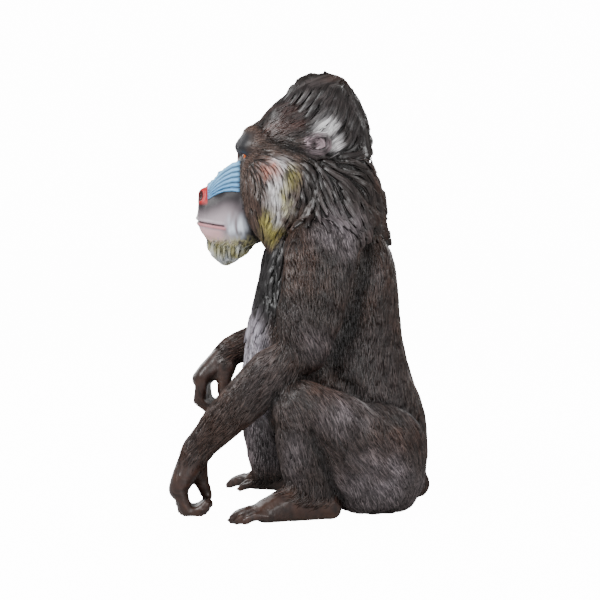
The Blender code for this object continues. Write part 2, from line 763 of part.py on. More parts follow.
def make_lid(name, side, rise):
    """One eyelid, an arched roll across the front of the eyeball."""
    eye = Vector((side * EYE_PLACE.x, EYE_PLACE.y, EYE_PLACE.z))
    points = []
    for index in range(5):
        sweep = math.radians(-62 + 31 * index)
        arch = math.cos(sweep * 1.35)
        out = EYE_RADIUS + LID_RADIUS * 0.35
        points.append(eye + Vector((side * out * math.sin(sweep + 0.25),
                                    -out * math.cos(sweep + 0.25) * 0.96, rise * arch)))
    radii = [LID_RADIUS * share for share in (0.75, 1.0, 1.0, 1.0, 0.75)]
    return tube(name, points, radii, 4, across=Vector((0, 0, 1)))


def make_eye(name, side):
    """One eyeball."""
    eye = Vector((side * EYE_PLACE.x, EYE_PLACE.y, EYE_PLACE.z))
    return ellipsoid(name, eye, [EYE_RADIUS] * 3)


def make_ear(name, side):
    """One small ear, close to the head, with its cup."""
    place = Vector((side * EAR_PLACE.x, EAR_PLACE.y, EAR_PLACE.z))
    turn = Matrix.Rotation(math.radians(-14 * side), 4, "Z")
    ear = ellipsoid(name, place, EAR_SIZE, turn)
    cup = ellipsoid("cup", place + Vector((side * 0.0120, -0.0035, -0.0010)),
                    (0.0115, 0.0125, 0.0120), turn, 8, 6)
    return combine(ear, [cup], "DIFFERENCE", bends=FLAT_BENDS)


def cored(outline):
    """Shrink a coat's outline to the core that its locks grow from."""
    core = inflated(outline, -COAT_DEPTH)
    name = outline.name
    bpy.data.objects.remove(outline)
    core.name = name
    return core


def make_ruff(name, side):
    """The full cheek on one side of the face."""
    rings = []
    for height, front, back, inner, outer in RUFF:
        centre = Vector((side * (inner + outer) / 2, (front + back) / 2, height))
        rings.append(ring(centre, Vector((1, 0, 0)), Vector((0, 1, 0)),
                          (outer - inner) / 2, (back - front) / 2, HAIR_SIDES, 2.2))
    return skin(name, rings)


def bent_path(start, direction, hinge, lengths, angles):
    """The joints of a digit that bends at each joint about its hinge line."""
    points = [start]
    heading = direction.copy()
    for length, angle in zip(lengths, angles):
        heading = Matrix.Rotation(math.radians(angle), 3, hinge) @ heading
        points.append(points[-1] + heading * length)
    return points


def make_hand(name, wrist, distal, palm_side, thumb_side, flex, thumb):
    """A hand: palm, four fingers that curl towards the palm, and a thumb."""
    distal, palm_side, thumb_side = (v.normalized() for v in (distal, palm_side, thumb_side))
    hinge = distal.cross(palm_side)
    knuckles = wrist + distal * PALM_LENGTH
    stations = []
    for share, wide, deep in ((-0.10, 0.66, 1.25), (0.30, 0.80, 1.12), (0.72, 1.0, 1.0),
                              (1.0, 0.98, 0.80)):
        centre = wrist + distal * (PALM_LENGTH * share)
        stations.append((*centre, PALM_HALF_WIDTH * wide, PALM_HALF_DEPTH * deep))
    hand = limb(name, stations, PALM_SIDES, 1, thumb_side, 2.5)
    digits = []
    for index, scale in enumerate(FINGER_SCALES):
        aside = PALM_HALF_WIDTH * (0.75 - 0.5 * index)
        start = knuckles + thumb_side * aside - distal * 0.010 - palm_side * 0.002
        lengths = (FINGER_LENGTHS[0], FINGER_LENGTHS[1] * scale, FINGER_LENGTHS[2] * scale)
        bends = (flex[0] + FINGER_FAN * (index - 1.5), flex[1], flex[2])
        path = bent_path(start, distal, hinge, lengths, bends)
        radii = [FINGER_RADIUS * scale * size for size in (1.05, 1.0, 0.92, 0.70)]
        digits.append(tube("finger", path, radii, across=thumb_side, flatten=FINGER_DEPTH))
    start, direction, bends = thumb
    base = wrist + thumb_side * start.x + palm_side * start.y + distal * start.z
    path = bent_path(base, direction.normalized(), hinge, THUMB_LENGTHS, bends)
    digits.append(tube("thumb", path, [FINGER_RADIUS * size for size in (1.25, 1.05, 0.92, 0.65)],
                       across=thumb_side, flatten=FINGER_DEPTH))
    return combine(hand, digits, "UNION", bends=FLAT_BENDS)


def make_foot(name, heel, toward, inner):
    """A flat foot: heel, instep, ball and five toes, the first one set apart."""
    toward, inner = toward.normalized(), inner.normalized()
    up = Vector((0, 0, 1))
    stations = []
    for share, width, thick in ((0.07, 0.58, 0.023), (0.22, 0.66, 0.034), (0.40, 0.74, 0.034),
                                (0.58, 0.90, 0.0265), (0.70, 1.0, 0.0200)):
        centre = heel + toward * (FOOT_LENGTH * share) + up * (thick - 0.001)
        stations.append((*centre, FOOT_HALF_WIDTH * width, thick))
    foot = limb(name, stations, PALM_SIDES, 1, inner, 2.3)
    toes = []
    for index, scale in enumerate(TOE_SCALES):
        aside = FOOT_HALF_WIDTH * (0.80 - 0.40 * index)
        apart = 0.40 if index == 0 else 0.04
        back = 0.54 if index == 0 else 0.715 - 0.016 * abs(index - 2)
        start = heel + toward * (FOOT_LENGTH * back) + inner * aside + up * 0.0165
        heading = (toward + inner * apart + up * 0.10).normalized()
        hinge = heading.cross(-up).normalized()
        path = bent_path(start, heading, hinge, [length * scale for length in TOE_LENGTHS],
                         (2, 22, 18))
        radii = [TOE_RADIUS * scale * size for size in (1.1, 1.0, 0.95, 0.72)]
        toes.append(tube("toe", path, radii, across=inner))
    return combine(foot, toes, "UNION", bends=FLAT_BENDS)


def recentre(pieces):
    """Bring the middle of the whole statue over the origin."""
    corners = [vert.co for piece in pieces for vert in piece.data.vertices]
    middle = Vector((
        (min(c.x for c in corners) + max(c.x for c in corners)) / 2,
        (min(c.y for c in corners) + max(c.y for c in corners)) / 2,
        0))
    for piece in pieces:
        piece.data.transform(Matrix.Translation(-middle))


def settle(piece, parent):
    """Give a piece its own origin at its middle and hang it on the parent."""
    corners = [vert.co for vert in piece.data.vertices]
    middle = sum(corners, Vector()) / len(corners)
    piece.data.transform(Matrix.Translation(-middle))
    piece.location = middle
    piece.parent = parent


def main():
    for obj in list(bpy.data.objects):
        bpy.data.objects.remove(obj)

    trunk, coat, pieces = make_torso()
    finishes = {"rump": "fur", "belly": "belly", "chest": "hair", "neck": "hair"}

    def add(piece, finish):
        pieces[piece.name] = piece
        finishes[piece.name] = finish
        return piece

    head, plain_head = make_head()
    add(cut_clear(head, [trunk]), "face")
    for name, side in (("left", 1), ("right", -1)):
        add(make_eye("eye_" + name, side), "eye")
        add(cut_clear(make_ear("ear_" + name, side), plain_head), "ear")

    arms = {"left": (UPPER_ARM_LEFT, FOREARM_LEFT), "right": (UPPER_ARM_RIGHT, FOREARM_RIGHT)}
    legs = {"left": (THIGH_LEFT, LOWER_LEG_LEFT), "right": (THIGH_RIGHT, LOWER_LEG_RIGHT)}
    for name in ("left", "right"):
        upper, fore = arms[name]
        thigh_rows, shin_rows = legs[name]
        thigh = add(cut_floor(cut_clear(limb("thigh_" + name, thigh_rows), [trunk])), "fur")
        leg = add(cut_clear(limb("lower_leg_" + name, shin_rows, dome=(1.0, 0.6)),
                            [trunk, thigh]), "fur")
        arm = add(cut_clear(limb("upper_arm_" + name, upper, dome=(0.55, 1.0)),
                            [trunk, thigh]), "fur")
        add(cut_clear(limb("forearm_" + name, fore, dome=(1.0, 0.2)), [trunk, thigh, arm, leg]),
            "fur")

    left_hand = make_hand(
        "hand_left", Vector((0.107, -0.188, 0.114)), Vector((-0.06, -0.44, -0.89)),
        Vector((0, 0.89, -0.44)), Vector((-1, 0, 0.05)), (38, 80, 42),
        (Vector((0.022, 0.012, 0.012)), Vector((-0.12, 0.10, -1.0)), (0, 10, 14)))
    add(cut_floor(cut_clear(left_hand, [pieces["forearm_left"]])), "hand")
    right_hand = make_hand(
        "hand_right", Vector((-0.112, -0.138, 0.272)), Vector((0.04, -0.74, -0.67)),
        Vector((0, 0.67, -0.74)), Vector((1, 0, 0.05)), (46, 62, 52),
        (Vector((0.020, 0.012, 0.010)), Vector((0.15, -0.20, -1.0)), (0, 8, 14)))
    add(cut_clear(right_hand, [pieces["forearm_right"]]), "hand")

    left_foot = make_foot("foot_left", Vector((0.126, 0.068, 0)), Vector((0.22, -1, 0)),
                          Vector((-1, -0.22, 0)))
    add(cut_floor(cut_clear(left_foot, [pieces["lower_leg_left"], pieces["thigh_left"]])), "hand")
    right_foot = make_foot("foot_right", Vector((-0.114, 0.036, 0)), Vector((-0.50, -1, 0)),
                           Vector((1, -0.50, 0)))
    add(cut_floor(cut_clear(right_foot, [pieces["lower_leg_right"], pieces["thigh_right"]])),
        "hand")

    add(cut_floor(cut_clear(limb("tail", TAIL), [trunk])), "hand")

    ruff_shapes = []
    for name, side in (("left", 1), ("right", -1)):
        ruff = cored(make_ruff("ruff_" + name, side))
        locks = make_locks(
            ruff, RUFF_LOCKS, ruff_lie,
            lambda place, facing, side=side: facing.x * side > RUFF_FACING
            and RUFF_ROOTS[0] < place.z < RUFF_ROOTS[1], random.Random(SEEDS[ruff.name]))
        ruff_shapes += [duplicate(shape, "ruff_shape") for shape in [ruff] + locks]
        fuse_locks(ruff, locks)
        add(cut_clear(ruff, plain_head + [coat, pieces["ear_" + name],
                                          pieces["upper_arm_" + name]]), "ruff")
    beard = cored(upright_loft("beard", BEARD, BEARD_SIDES))
    fuse_locks(beard, make_locks(
        beard, BEARD_LOCKS, beard_lie,
        lambda place, facing: facing.z < BEARD_FACING
        and BEARD_ROOTS[0] < place.z < BEARD_ROOTS[1], random.Random(SEEDS["beard"])))
    add(cut_clear(beard, plain_head + [coat], ruff_shapes), "beard")

    hair = cored(level_loft("hair", HAIR, HAIR_SIDES))
    draw = random.Random(SEEDS["hair"])
    locks = make_locks(
        hair, CREST_LOCKS, hair_lie,
        lambda place, facing: place.z > MANE_TOP and facing.z > CREST_FACING,
        draw, CREST_MIDDLE)
    locks += make_locks(
        hair, MANE_LOCKS, hair_lie,
        lambda place, facing: MANE_ROOTS[0] < place.z < MANE_ROOTS[1]
        and place.y > MANE_ROOTS_FRONT and facing.y > MANE_FACING, draw, MANE_MIDDLE)
    fuse_locks(hair, locks)
    around = [pieces[part + "_" + name] for name in ("left", "right")
              for part in ("ear", "upper_arm")]
    cut_clear(hair, plain_head + [trunk] + around, ruff_shapes)
    add(slice_level(hair, "mane", 0.3, MANE_TOP - GAP / 2), "hair")
    add(slice_level(hair, "crest", MANE_TOP + GAP / 2, 1.0), "hair")
    for guide in [hair, trunk, coat] + plain_head + ruff_shapes:
        bpy.data.objects.remove(guide)

    recentre(list(pieces.values()))
    statue = bpy.data.objects.new("mandrill", None)
    bpy.context.scene.collection.objects.link(statue)
    for name, piece in pieces.items():
        paint(piece, finishes[name])
        settle(piece, statue)


main()
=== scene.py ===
"""Looks of a painted cast statue of a sitting mandrill.

One carved skin replaces the solids of the flesh. Strokes of carved fur, bold locks
and eyes lie over it, and a plain studio stands around it.
"""
import functools
import math

import bmesh
import bpy
import numpy as np
from bpy.props import FloatProperty, FloatVectorProperty, IntProperty, PointerProperty
from mathutils import Matrix, Vector, noise
from mathutils.bvhtree import BVHTree


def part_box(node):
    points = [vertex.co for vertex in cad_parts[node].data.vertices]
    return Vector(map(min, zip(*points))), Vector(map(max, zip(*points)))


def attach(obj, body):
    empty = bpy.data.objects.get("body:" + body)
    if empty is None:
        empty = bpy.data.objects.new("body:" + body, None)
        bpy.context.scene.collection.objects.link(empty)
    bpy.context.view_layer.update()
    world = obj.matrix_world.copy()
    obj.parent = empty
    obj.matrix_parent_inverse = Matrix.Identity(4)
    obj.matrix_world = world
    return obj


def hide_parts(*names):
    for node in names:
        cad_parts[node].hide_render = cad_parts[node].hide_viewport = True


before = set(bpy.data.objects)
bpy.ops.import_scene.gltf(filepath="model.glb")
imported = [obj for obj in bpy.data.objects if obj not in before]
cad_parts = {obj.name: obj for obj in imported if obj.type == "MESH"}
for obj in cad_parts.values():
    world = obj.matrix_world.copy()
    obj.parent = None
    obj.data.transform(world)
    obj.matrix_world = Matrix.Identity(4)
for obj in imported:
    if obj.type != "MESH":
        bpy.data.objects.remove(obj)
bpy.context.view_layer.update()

bl_info = {
    "name": "Painted Mandrill Statue",
    "version": (1, 0, 0),
    "blender": (4, 5, 0),
    "location": "3D View > Sidebar > Statue",
    "description": "Builds the carved and painted surface of a sitting mandrill statue",
    "category": "Object",
}

# Places below are in the statue's own working frame, which the left eye ties to the solids
EYE_PLACE = np.array((0.0265, -0.0940, 0.6475))
EYE_RADIUS = 0.0105
GAZE = (0.42, -0.90, -0.05)     # of the left eye
EYE_CORNERS = np.array([tuple(corner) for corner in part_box("eye_left")])
SHIFT = EYE_CORNERS.mean(axis=0) - EYE_PLACE
SHIFT[2] = 0.0

FUR_NODES = ("neck", "chest", "belly", "rump", "tail", "upper_arm_left", "upper_arm_right",
             "forearm_left", "forearm_right", "thigh_left", "thigh_right", "lower_leg_left",
             "lower_leg_right")
BARE_NODES = ("head", "ear_left", "ear_right", "hand_left", "hand_right", "foot_left",
              "foot_right")
HAIR_NODES = ("crest", "mane", "ruff_left", "ruff_right", "beard")
EYE_NODES = ("eye_left", "eye_right")
BODY_NODES = FUR_NODES + BARE_NODES + HAIR_NODES + EYE_NODES
TRUNK = ("neck", "chest", "belly", "rump")
NUMBER = {name: number for number, name in enumerate(BODY_NODES)}

# How far the skin lies inside each solid, and how strongly it is smoothed there
INSETS = {"head": 0.0002, "crest": 0.0062, "mane": 0.0062, "ruff": 0.0042, "beard": 0.0030,
          "ear": 0.0, "hand": 0.0, "foot": 0.0, "chest": 0.0016, "tail": 0.0002, "eye": 0.0}
FUR_INSET = 0.0009
FINE_HAIR_INSET = 0.0014
SMOOTHING = {"hand": 0.10, "foot": 0.12, "ear": 0.10, "head": 0.30, "eye": 0.2, "tail": 0.3,
             "beard": 0.7, "ruff": 1.0}

# Places that are smoothed once more: centre, reach, turns of smoothing and of filling hollows,
# and how far they then swell
SOFTENED = (
    ((0.150, -0.018, 0.205), (0.060, 0.045, 0.050), 40, 0, 0.0),
    ((0.000, -0.094, 0.702), (0.075, 0.028, 0.028), 24, 0, 0.0085),
    ((0.150, 0.178, 0.195), (0.110, 0.085, 0.075), 140, 160, 0.0),
    ((-0.150, 0.178, 0.195), (0.110, 0.085, 0.075), 140, 160, 0.0),
)


def kind(name):
    """The kind of part a node is, without its side."""
    return name.replace("_left", "").replace("_right", "")


FUR_KINDS = tuple(kind(name) for name in FUR_NODES)


def srgb(red, green, blue):
    """A linear colour from the numbers of a paint chart, 0 to 255."""
    values = np.array((red, green, blue)) / 255.0
    return np.where(values <= 0.04045, values / 12.92, ((values + 0.055) / 1.055) ** 2.4)


def ramp(values, low, high):
    """0 below low and 1 above high, with a smooth rise between."""
    share = np.clip((values - low) / (high - low), 0.0, 1.0)
    return share * share * (3.0 - 2.0 * share)


def fall(values, low, high):
    """1 below low and 0 above high, with a smooth fall between."""
    return 1.0 - ramp(values, low, high)


def band(values, low, high, soft):
    """1 between low and high, and 0 outside, with soft edges."""
    return ramp(values, low - soft, low + soft) * fall(values, high - soft, high + soft)


def ridge(values, width):
    """1 where the values are 0, fading to both sides over about that width."""
    return np.exp(-(values / width) ** 2)


def spot(places, centre, radii, soft=0.5):
    """1 inside an ellipsoid and 0 outside, softly from that share of its radius on."""
    away = np.linalg.norm((places - np.array(centre)) / np.array(radii), axis=1)
    return fall(away, soft, 1.0)


def unit(vectors):
    """Vectors of length 1."""
    return vectors / np.maximum(np.linalg.norm(vectors, axis=-1, keepdims=True), 1e-12)


def mix(first, second, share):
    """Blend two lots of colours or vectors by a share for each row."""
    return first + (second - first) * np.asarray(share)[..., None]


def cloud(places, scale, seed=0.0):
    """Smooth random values from about -1 to 1."""
    scaled = places * np.array(scale) + seed
    return np.array([noise.noise(Vector(place)) for place in scaled.tolist()])


def read(items, key, width, kind_of=float):
    """One property of all items of a mesh as rows."""
    values = np.empty(len(items) * width, dtype=kind_of)
    items.foreach_get(key, values)
    return values.reshape(-1, width) if width > 1 else values


class Net:
    """The edges between a mesh's corners, for evening out values over it."""

    def __init__(self, mesh):
        self.count = len(mesh.vertices)
        ends = read(mesh.edges, "vertices", 2, np.int32)
        self.here = np.concatenate((ends[:, 0], ends[:, 1]))
        self.there = np.concatenate((ends[:, 1], ends[:, 0]))
        self.links = np.maximum(np.bincount(self.here, minlength=self.count), 1)

    def mean(self, values):
        """Each corner's mean over its neighbours."""
        flat = values.reshape(self.count, -1)
        sums = [np.bincount(self.here, flat[self.there, column], minlength=self.count)
                for column in range(flat.shape[1])]
        return (np.stack(sums, axis=1) / self.links[:, None]).reshape(values.shape)

    def even(self, values, turns):
        """Values evened out over the mesh."""
        for _ in range(turns):
            values = 0.5 * values + 0.5 * self.mean(values)
        return values

    def relax(self, places, weights, turns, swell=0.42):
        """Smooth the shape where weights are high, giving back some of the shrinking."""
        for _ in range(turns):
            places = places + (self.mean(places) - places) * (0.5 * weights[:, None])
            places = places - (self.mean(places) - places) * (swell * weights[:, None])
        return places


def filled(net, places, normals, weights, turns):
    """Places with their hollows filled where weights are high."""
    for _ in range(turns):
        out = ((net.mean(places) - places) * normals).sum(axis=1)
        places = places + normals * (np.maximum(out, 0.0) * weights)[:, None]
    return places


def new_object(name, mesh):
    """Put a finished mesh in the scene."""
    obj = bpy.data.objects.new(name, mesh)
    bpy.context.scene.collection.objects.link(obj)
    return obj


def evaluated(obj):
    """The mesh of an object with its modifiers."""
    bpy.context.view_layer.update()
    graph = bpy.context.evaluated_depsgraph_get()
    return bpy.data.meshes.new_from_object(obj.evaluated_get(graph))


def joined_nodes():
    """Merged copies of the solids in one mesh, and the node that each face is from."""
    bm = bmesh.new()
    owners = []
    for name in BODY_NODES:
        part = bmesh.new()
        part.from_mesh(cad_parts[name].data)
        bmesh.ops.remove_doubles(part, verts=part.verts, dist=1e-6)
        mesh = bpy.data.meshes.new(name)
        part.to_mesh(mesh)
        part.free()
        bm.from_mesh(mesh)
        owners += [NUMBER[name]] * len(mesh.polygons)
        bpy.data.meshes.remove(mesh)
    mesh = bpy.data.meshes.new("solids")
    bm.to_mesh(mesh)
    bm.free()
    return mesh, np.array(owners)


def remeshed(mesh, voxel):
    """One closed skin round all the solids."""
    obj = new_object("solids", mesh)
    change = obj.modifiers.new("skin", "REMESH")
    change.mode = "VOXEL"
    change.voxel_size = voxel
    result = evaluated(obj)
    bpy.data.objects.remove(obj)
    bm = bmesh.new()
    bm.from_mesh(result)
    keep_largest(bm)
    bm.to_mesh(result)
    bm.free()
    return result


def keep_largest(bm):
    """Leave only the largest closed surface."""
    unseen = set(bm.verts)
    islands = []
    while unseen:
        start = unseen.pop()
        island, front = [start], [start]
        while front:
            for edge in front.pop().link_edges:
                for vert in edge.verts:
                    if vert in unseen:
                        unseen.remove(vert)
                        island.append(vert)
                        front.append(vert)
        islands.append(island)
    islands.sort(key=len)
    scraps = [vert for island in islands[:-1] for vert in island]
    bmesh.ops.delete(bm, geom=scraps, context="VERTS")


def nearest_parts(places, mesh, owners):
    """The node that each place is nearest to."""
    mesh.calc_loop_triangles()
    corners = read(mesh.vertices, "co", 3)
    triangles = read(mesh.loop_triangles, "vertices", 3, np.int32)
    faces = read(mesh.loop_triangles, "polygon_index", 1, np.int32)
    tree = BVHTree.FromPolygons(corners.tolist(), triangles.tolist())
    found = np.array([tree.find_nearest(place)[2] for place in places.tolist()])
    return owners[faces[found]]


def refine(mesh, wanted):
    """Cut every edge whose two corners are wanted."""
    bm = bmesh.new()
    bm.from_mesh(mesh)
    edges = [edge for edge in bm.edges
             if wanted[edge.verts[0].index] and wanted[edge.verts[1].index]]
    bmesh.ops.subdivide_edges(bm, edges=edges, cuts=1, use_grid_fill=True)
    bm.to_mesh(mesh)
    bm.free()
    mesh.update()


def per_part(parts, table, fallback):
    """A value for each corner from a table by kind of part."""
    values = np.array([table.get(kind(name), fallback) for name in BODY_NODES])
    return values[parts]


def among(parts, *kinds):
    """Which corners are of these kinds of part."""
    return np.isin(parts, [NUMBER[name] for name in BODY_NODES if kind(name) in kinds])


# Lines of the face in side view: heights and how far forward they lie
BORDER_Z = (0.482, 0.513, 0.5456, 0.5763, 0.6304, 0.655, 0.69)
BORDER_Y = (-0.0743, -0.0859, -0.0978, -0.1067, -0.1084, -0.0930, -0.0850)
BLUE_Y = (-0.1690, -0.1599, -0.1508, -0.1380, -0.1235, -0.1085)
BLUE_TOP = (0.5860, 0.5990, 0.6100, 0.6230, 0.6330, 0.6370)
BLUE_LOW = (0.5680, 0.5730, 0.5780, 0.5822, 0.5834, 0.5817)
BLUE_GROOVES = (0.15, 0.33, 0.51, 0.70, 0.87)
MOUTH_Y = (-0.1900, -0.1855, -0.1728, -0.1600, -0.1473, -0.1353)
MOUTH_Z = (0.5290, 0.5273, 0.5249, 0.5228, 0.5208, 0.5193)
MOUTH_CORNER_FUR = (0.045, -0.116, 0.517)
MOUTH_CORNER_SIZE = (0.060, 0.029, 0.036)
NOSTRIL = (0.0150, -0.1805, 0.5735)
NOSTRIL_SIZE = (0.0115, 0.0072, 0.0130)
EAR_PLACE = np.array((0.0790, 0.0290, 0.6645))
EAR_REACH = 0.0172      # half its height and length
EAR_FLOOR, EAR_RIM, EAR_CANAL, EAR_EDGE = 0.0040, 0.0050, 0.0060, 0.0120
LID_HALF_WIDTH, LID_HALF_HEIGHT = 0.0096, 0.0050
LID_REACH = 0.024

# How far the carving of the face goes out or in
BLUE_SWELL, BLUE_GROOVE = 0.0022, 0.0030
DIP_ABOVE_BLUE, BRIDGE_DIP = 0.0042, 0.0008
MOUTH_CUT, LIP_ROLL, CORNER_PAD = 0.0034, 0.0012, 0.0010
NOSTRIL_DEPTH, NOSTRIL_RIM = 0.0055, 0.0014
BORDER_GROOVE, CHEEK_CREASE = 0.0024, 0.0010


def side_places(places):
    """Places folded onto the animal's left side, in the working frame."""
    folded = places - SHIFT
    return np.column_stack((np.abs(folded[:, 0]), folded[:, 1], folded[:, 2]))


def on_side(place, side):
    """A place or direction of the left side, with side 1, or its mirror image, with -1."""
    return np.array(place) * (side, 1, 1)


def bare_face(folded):
    """1 on the bare skin of muzzle, brow and chin, and 0 on the furry cheeks."""
    _, y, z = folded.T
    soft = np.interp(z, (0.630, 0.655), (0.0020, 0.0110))
    front = fall((y - np.interp(z, BORDER_Z, BORDER_Y)) / soft, -1.0, 1.0)
    return front * fall(z, 0.682, 0.696)


def fine_hair(folded):
    """1 on the low fine hair of forehead and temple, and 0 on the bold locks behind it."""
    _, y, z = folded.T
    edge = np.interp(z, (0.660, 0.700, 0.745), (0.014, 0.004, -0.042))
    return fall(y - edge, -0.010, 0.010)


def blue_share(folded):
    """Where the blue swelling is, and how far down across it each place lies."""
    x, y, z = folded.T
    top = np.interp(y, BLUE_Y, BLUE_TOP)
    low = np.interp(y, BLUE_Y, BLUE_LOW)
    above = np.interp(y, (-0.130, -0.118), (0.0110, 0.0025))
    inside = (ramp(x, 0.0070, 0.0095) * ramp(y, -0.1700, -0.1680) * fall(y, -0.1105, -0.1085)
              * ramp(z - low, -0.0008, 0.0010) * ramp((top - z) / above, -1.0, -0.7))
    return inside, (top - z) / (top - low)


def groove_share(down, width=0.042):
    """1 in the grooves of the blue swelling and 0 on its ridges."""
    return np.max([ridge(down - place, width) for place in BLUE_GROOVES], axis=0)


def carve_face(places, parts):
    """How far each place of the face moves out along its normal."""
    folded = side_places(places)
    x, y, z = folded.T
    blue, down = blue_share(folded)
    move = blue * (BLUE_SWELL - BLUE_GROOVE * groove_share(down))
    over = z - np.interp(y, BLUE_Y, BLUE_TOP)
    move -= (DIP_ABOVE_BLUE * band(y, -0.163, -0.113, 0.004) * (x < 0.03)
             * ramp(over, 0.0, 0.0040) * fall(z, 0.640, 0.648))
    valley = fall(x, 0.0045, 0.0080) * band(y, -0.1640, -0.1240, 0.004)
    move -= BRIDGE_DIP * valley * (z > 0.575)
    line = z - np.interp(y, MOUTH_Y, MOUTH_Z)
    along = fall(y, -0.1390, -0.1350)
    move -= MOUTH_CUT * ridge(line, 0.0011) * along
    move += LIP_ROLL * ridge(np.abs(line) - 0.0045, 0.0024) * along
    nostril = spot(folded, NOSTRIL, NOSTRIL_SIZE, 0.30)
    move -= NOSTRIL_DEPTH * nostril
    rim = spot(folded, NOSTRIL, np.array(NOSTRIL_SIZE) * 1.55, 0.5) - nostril
    move += NOSTRIL_RIM * np.clip(rim, 0, 1)
    edge = y - np.interp(z, BORDER_Z, BORDER_Y)
    move -= BORDER_GROOVE * ridge(edge, 0.0032) * band(z, 0.495, 0.635, 0.008)
    move += CORNER_PAD * spot(folded, (0.045, -0.117, 0.522), (0.03, 0.022, 0.022), 0.2)
    crease = y - np.interp(z, (0.50, 0.545, 0.58), (-0.135, -0.118, -0.108))
    move -= CHEEK_CREASE * ridge(crease, 0.0040) * band(z, 0.505, 0.575, 0.01)
    return move * (parts == NUMBER["head"])


# Parts that meet in a crease: its greatest height, its foremost and rearmost place, and depth
CREASED_PAIRS = (
    ("upper_arm", "chest", 0.47, -1.0, 1.0, 0.9), ("upper_arm", "rump", 0.53, -1.0, 1.0, 1.5),
    ("upper_arm", "belly", 0.52, -1.0, 1.0, 1.0), ("upper_arm", "neck", 0.50, -1.0, 1.0, 1.0),
    ("thigh", "rump", 0.40, -1.0, 0.115, 1.1), ("thigh", "belly", 0.40, -1.0, 1.0, 1.0),
    ("thigh", "lower_leg", 0.22, 0.018, 1.0, 1.4), ("thigh", "forearm", 0.40, -1.0, 1.0, 1.0),
    ("thigh", "upper_arm", 0.40, -1.0, 1.0, 1.0), ("lower_leg", "belly", 0.40, -1.0, 1.0, 1.0),
    ("lower_leg", "rump", 0.40, -1.0, 1.0, 1.0), ("lower_leg", "forearm", 0.40, -1.0, 1.0, 1.0),
    ("forearm", "belly", 0.60, -1.0, 1.0, 1.0), ("forearm", "chest", 0.60, -1.0, 1.0, 1.0),
    ("foot", "thigh", 0.10, -1.0, 1.0, 1.2), ("foot", "rump", 0.10, -1.0, 1.0, 1.0),
)
CREASE_DEPTH = 0.0070
RELIEF_DEPTH = 0.0026
WRINKLE_DEPTH = 0.0006
# Deep grooves in side view, from the top down: places of Y and Z, depth, half width before
# and behind, and whether they are on both sides
GROOVES = (
    (((0.027, 0.648), (0.028, 0.585), (0.005, 0.546), (-0.025, 0.512), (-0.036, 0.477),
      (-0.045, 0.390)), 0.0105, 0.0060, 0.0080, True),
    (((0.040, 0.655), (0.060, 0.630), (0.081, 0.607), (0.110, 0.570), (0.140, 0.541)),
     0.0085, 0.0050, 0.0060, True),
    (((0.117, 0.480), (0.107, 0.434), (0.094, 0.386), (0.086, 0.352), (0.070, 0.314),
      (0.055, 0.278)), 0.0210, 0.0080, 0.0260, False),
    (((0.068, 0.252), (0.095, 0.231), (0.142, 0.191), (0.175, 0.168)),
     0.0070, 0.0060, 0.0130, False),
)


def crease_share(places, parts, net):
    """How deep the creases between parts of the body are, fading to both sides."""
    heights, depths = places[net.here, 2], places[net.here, 1] - SHIFT[1]
    here, there = parts[net.here], parts[net.there]
    creased = np.zeros(net.count)
    for first, second, top, front, back, depth in CREASED_PAIRS:
        meets = (among(here, first) & among(there, second)
                 | among(here, second) & among(there, first))
        meets &= (heights < top) & (depths > front) & (depths < back)
        creased[net.here[meets]] = depth
    return np.clip(net.even(creased, 3) * 1.9, 0.0, 1.5)


def groove_depth(places, scale=1.0):
    """How deep the grooves of the hair and of the body are."""
    here = places - SHIFT
    deepest = np.zeros(len(here))
    for line, depth, before, behind, both in GROOVES:
        least = np.full(len(here), 9.0)
        for start, end in zip(line, line[1:]):
            along = np.array(end) - start
            offset = here[:, 1:] - start
            share = np.clip(offset @ along / (along @ along), 0, 1)
            away = offset - share[:, None] * along
            side = along[0] * away[:, 1] - along[1] * away[:, 0]
            reach = np.linalg.norm(away, axis=1) / np.where(side > 0, behind, before)
            least = np.minimum(least, reach / scale)
        aside = np.abs(here[:, 0]) if both else here[:, 0]
        deepest = np.maximum(deepest, depth * np.exp(-least ** 2) * ramp(aside, 0.040, 0.060))
    return deepest


def even_lie(places, parts, net):
    """The lie of the coat, evened out where parts meet."""
    return unit(net.even(lie_of_coat(places, parts), 14))


def wrinkles_at(places, lie, parts):
    """The fine wrinkles of the bare hands and feet."""
    return cloud(grain_places(places, lie, parts), 300.0, 6.0)


def carve_body(places, parts, net):
    """How far each place of the body moves out for its creases and its clumps of fur."""
    lie = even_lie(places, parts, net)
    clumps = cloud(grain_places(places, lie, parts), 26.0, 2.0)
    furry = net.even(among(parts, *FUR_KINDS).astype(float), 3)
    bare = net.even(among(parts, "hand", "foot").astype(float), 3)
    return (RELIEF_DEPTH * clumps * furry + WRINKLE_DEPTH * bare * wrinkles_at(places, lie, parts)
            - CREASE_DEPTH * crease_share(places, parts, net)
            - groove_depth(places))


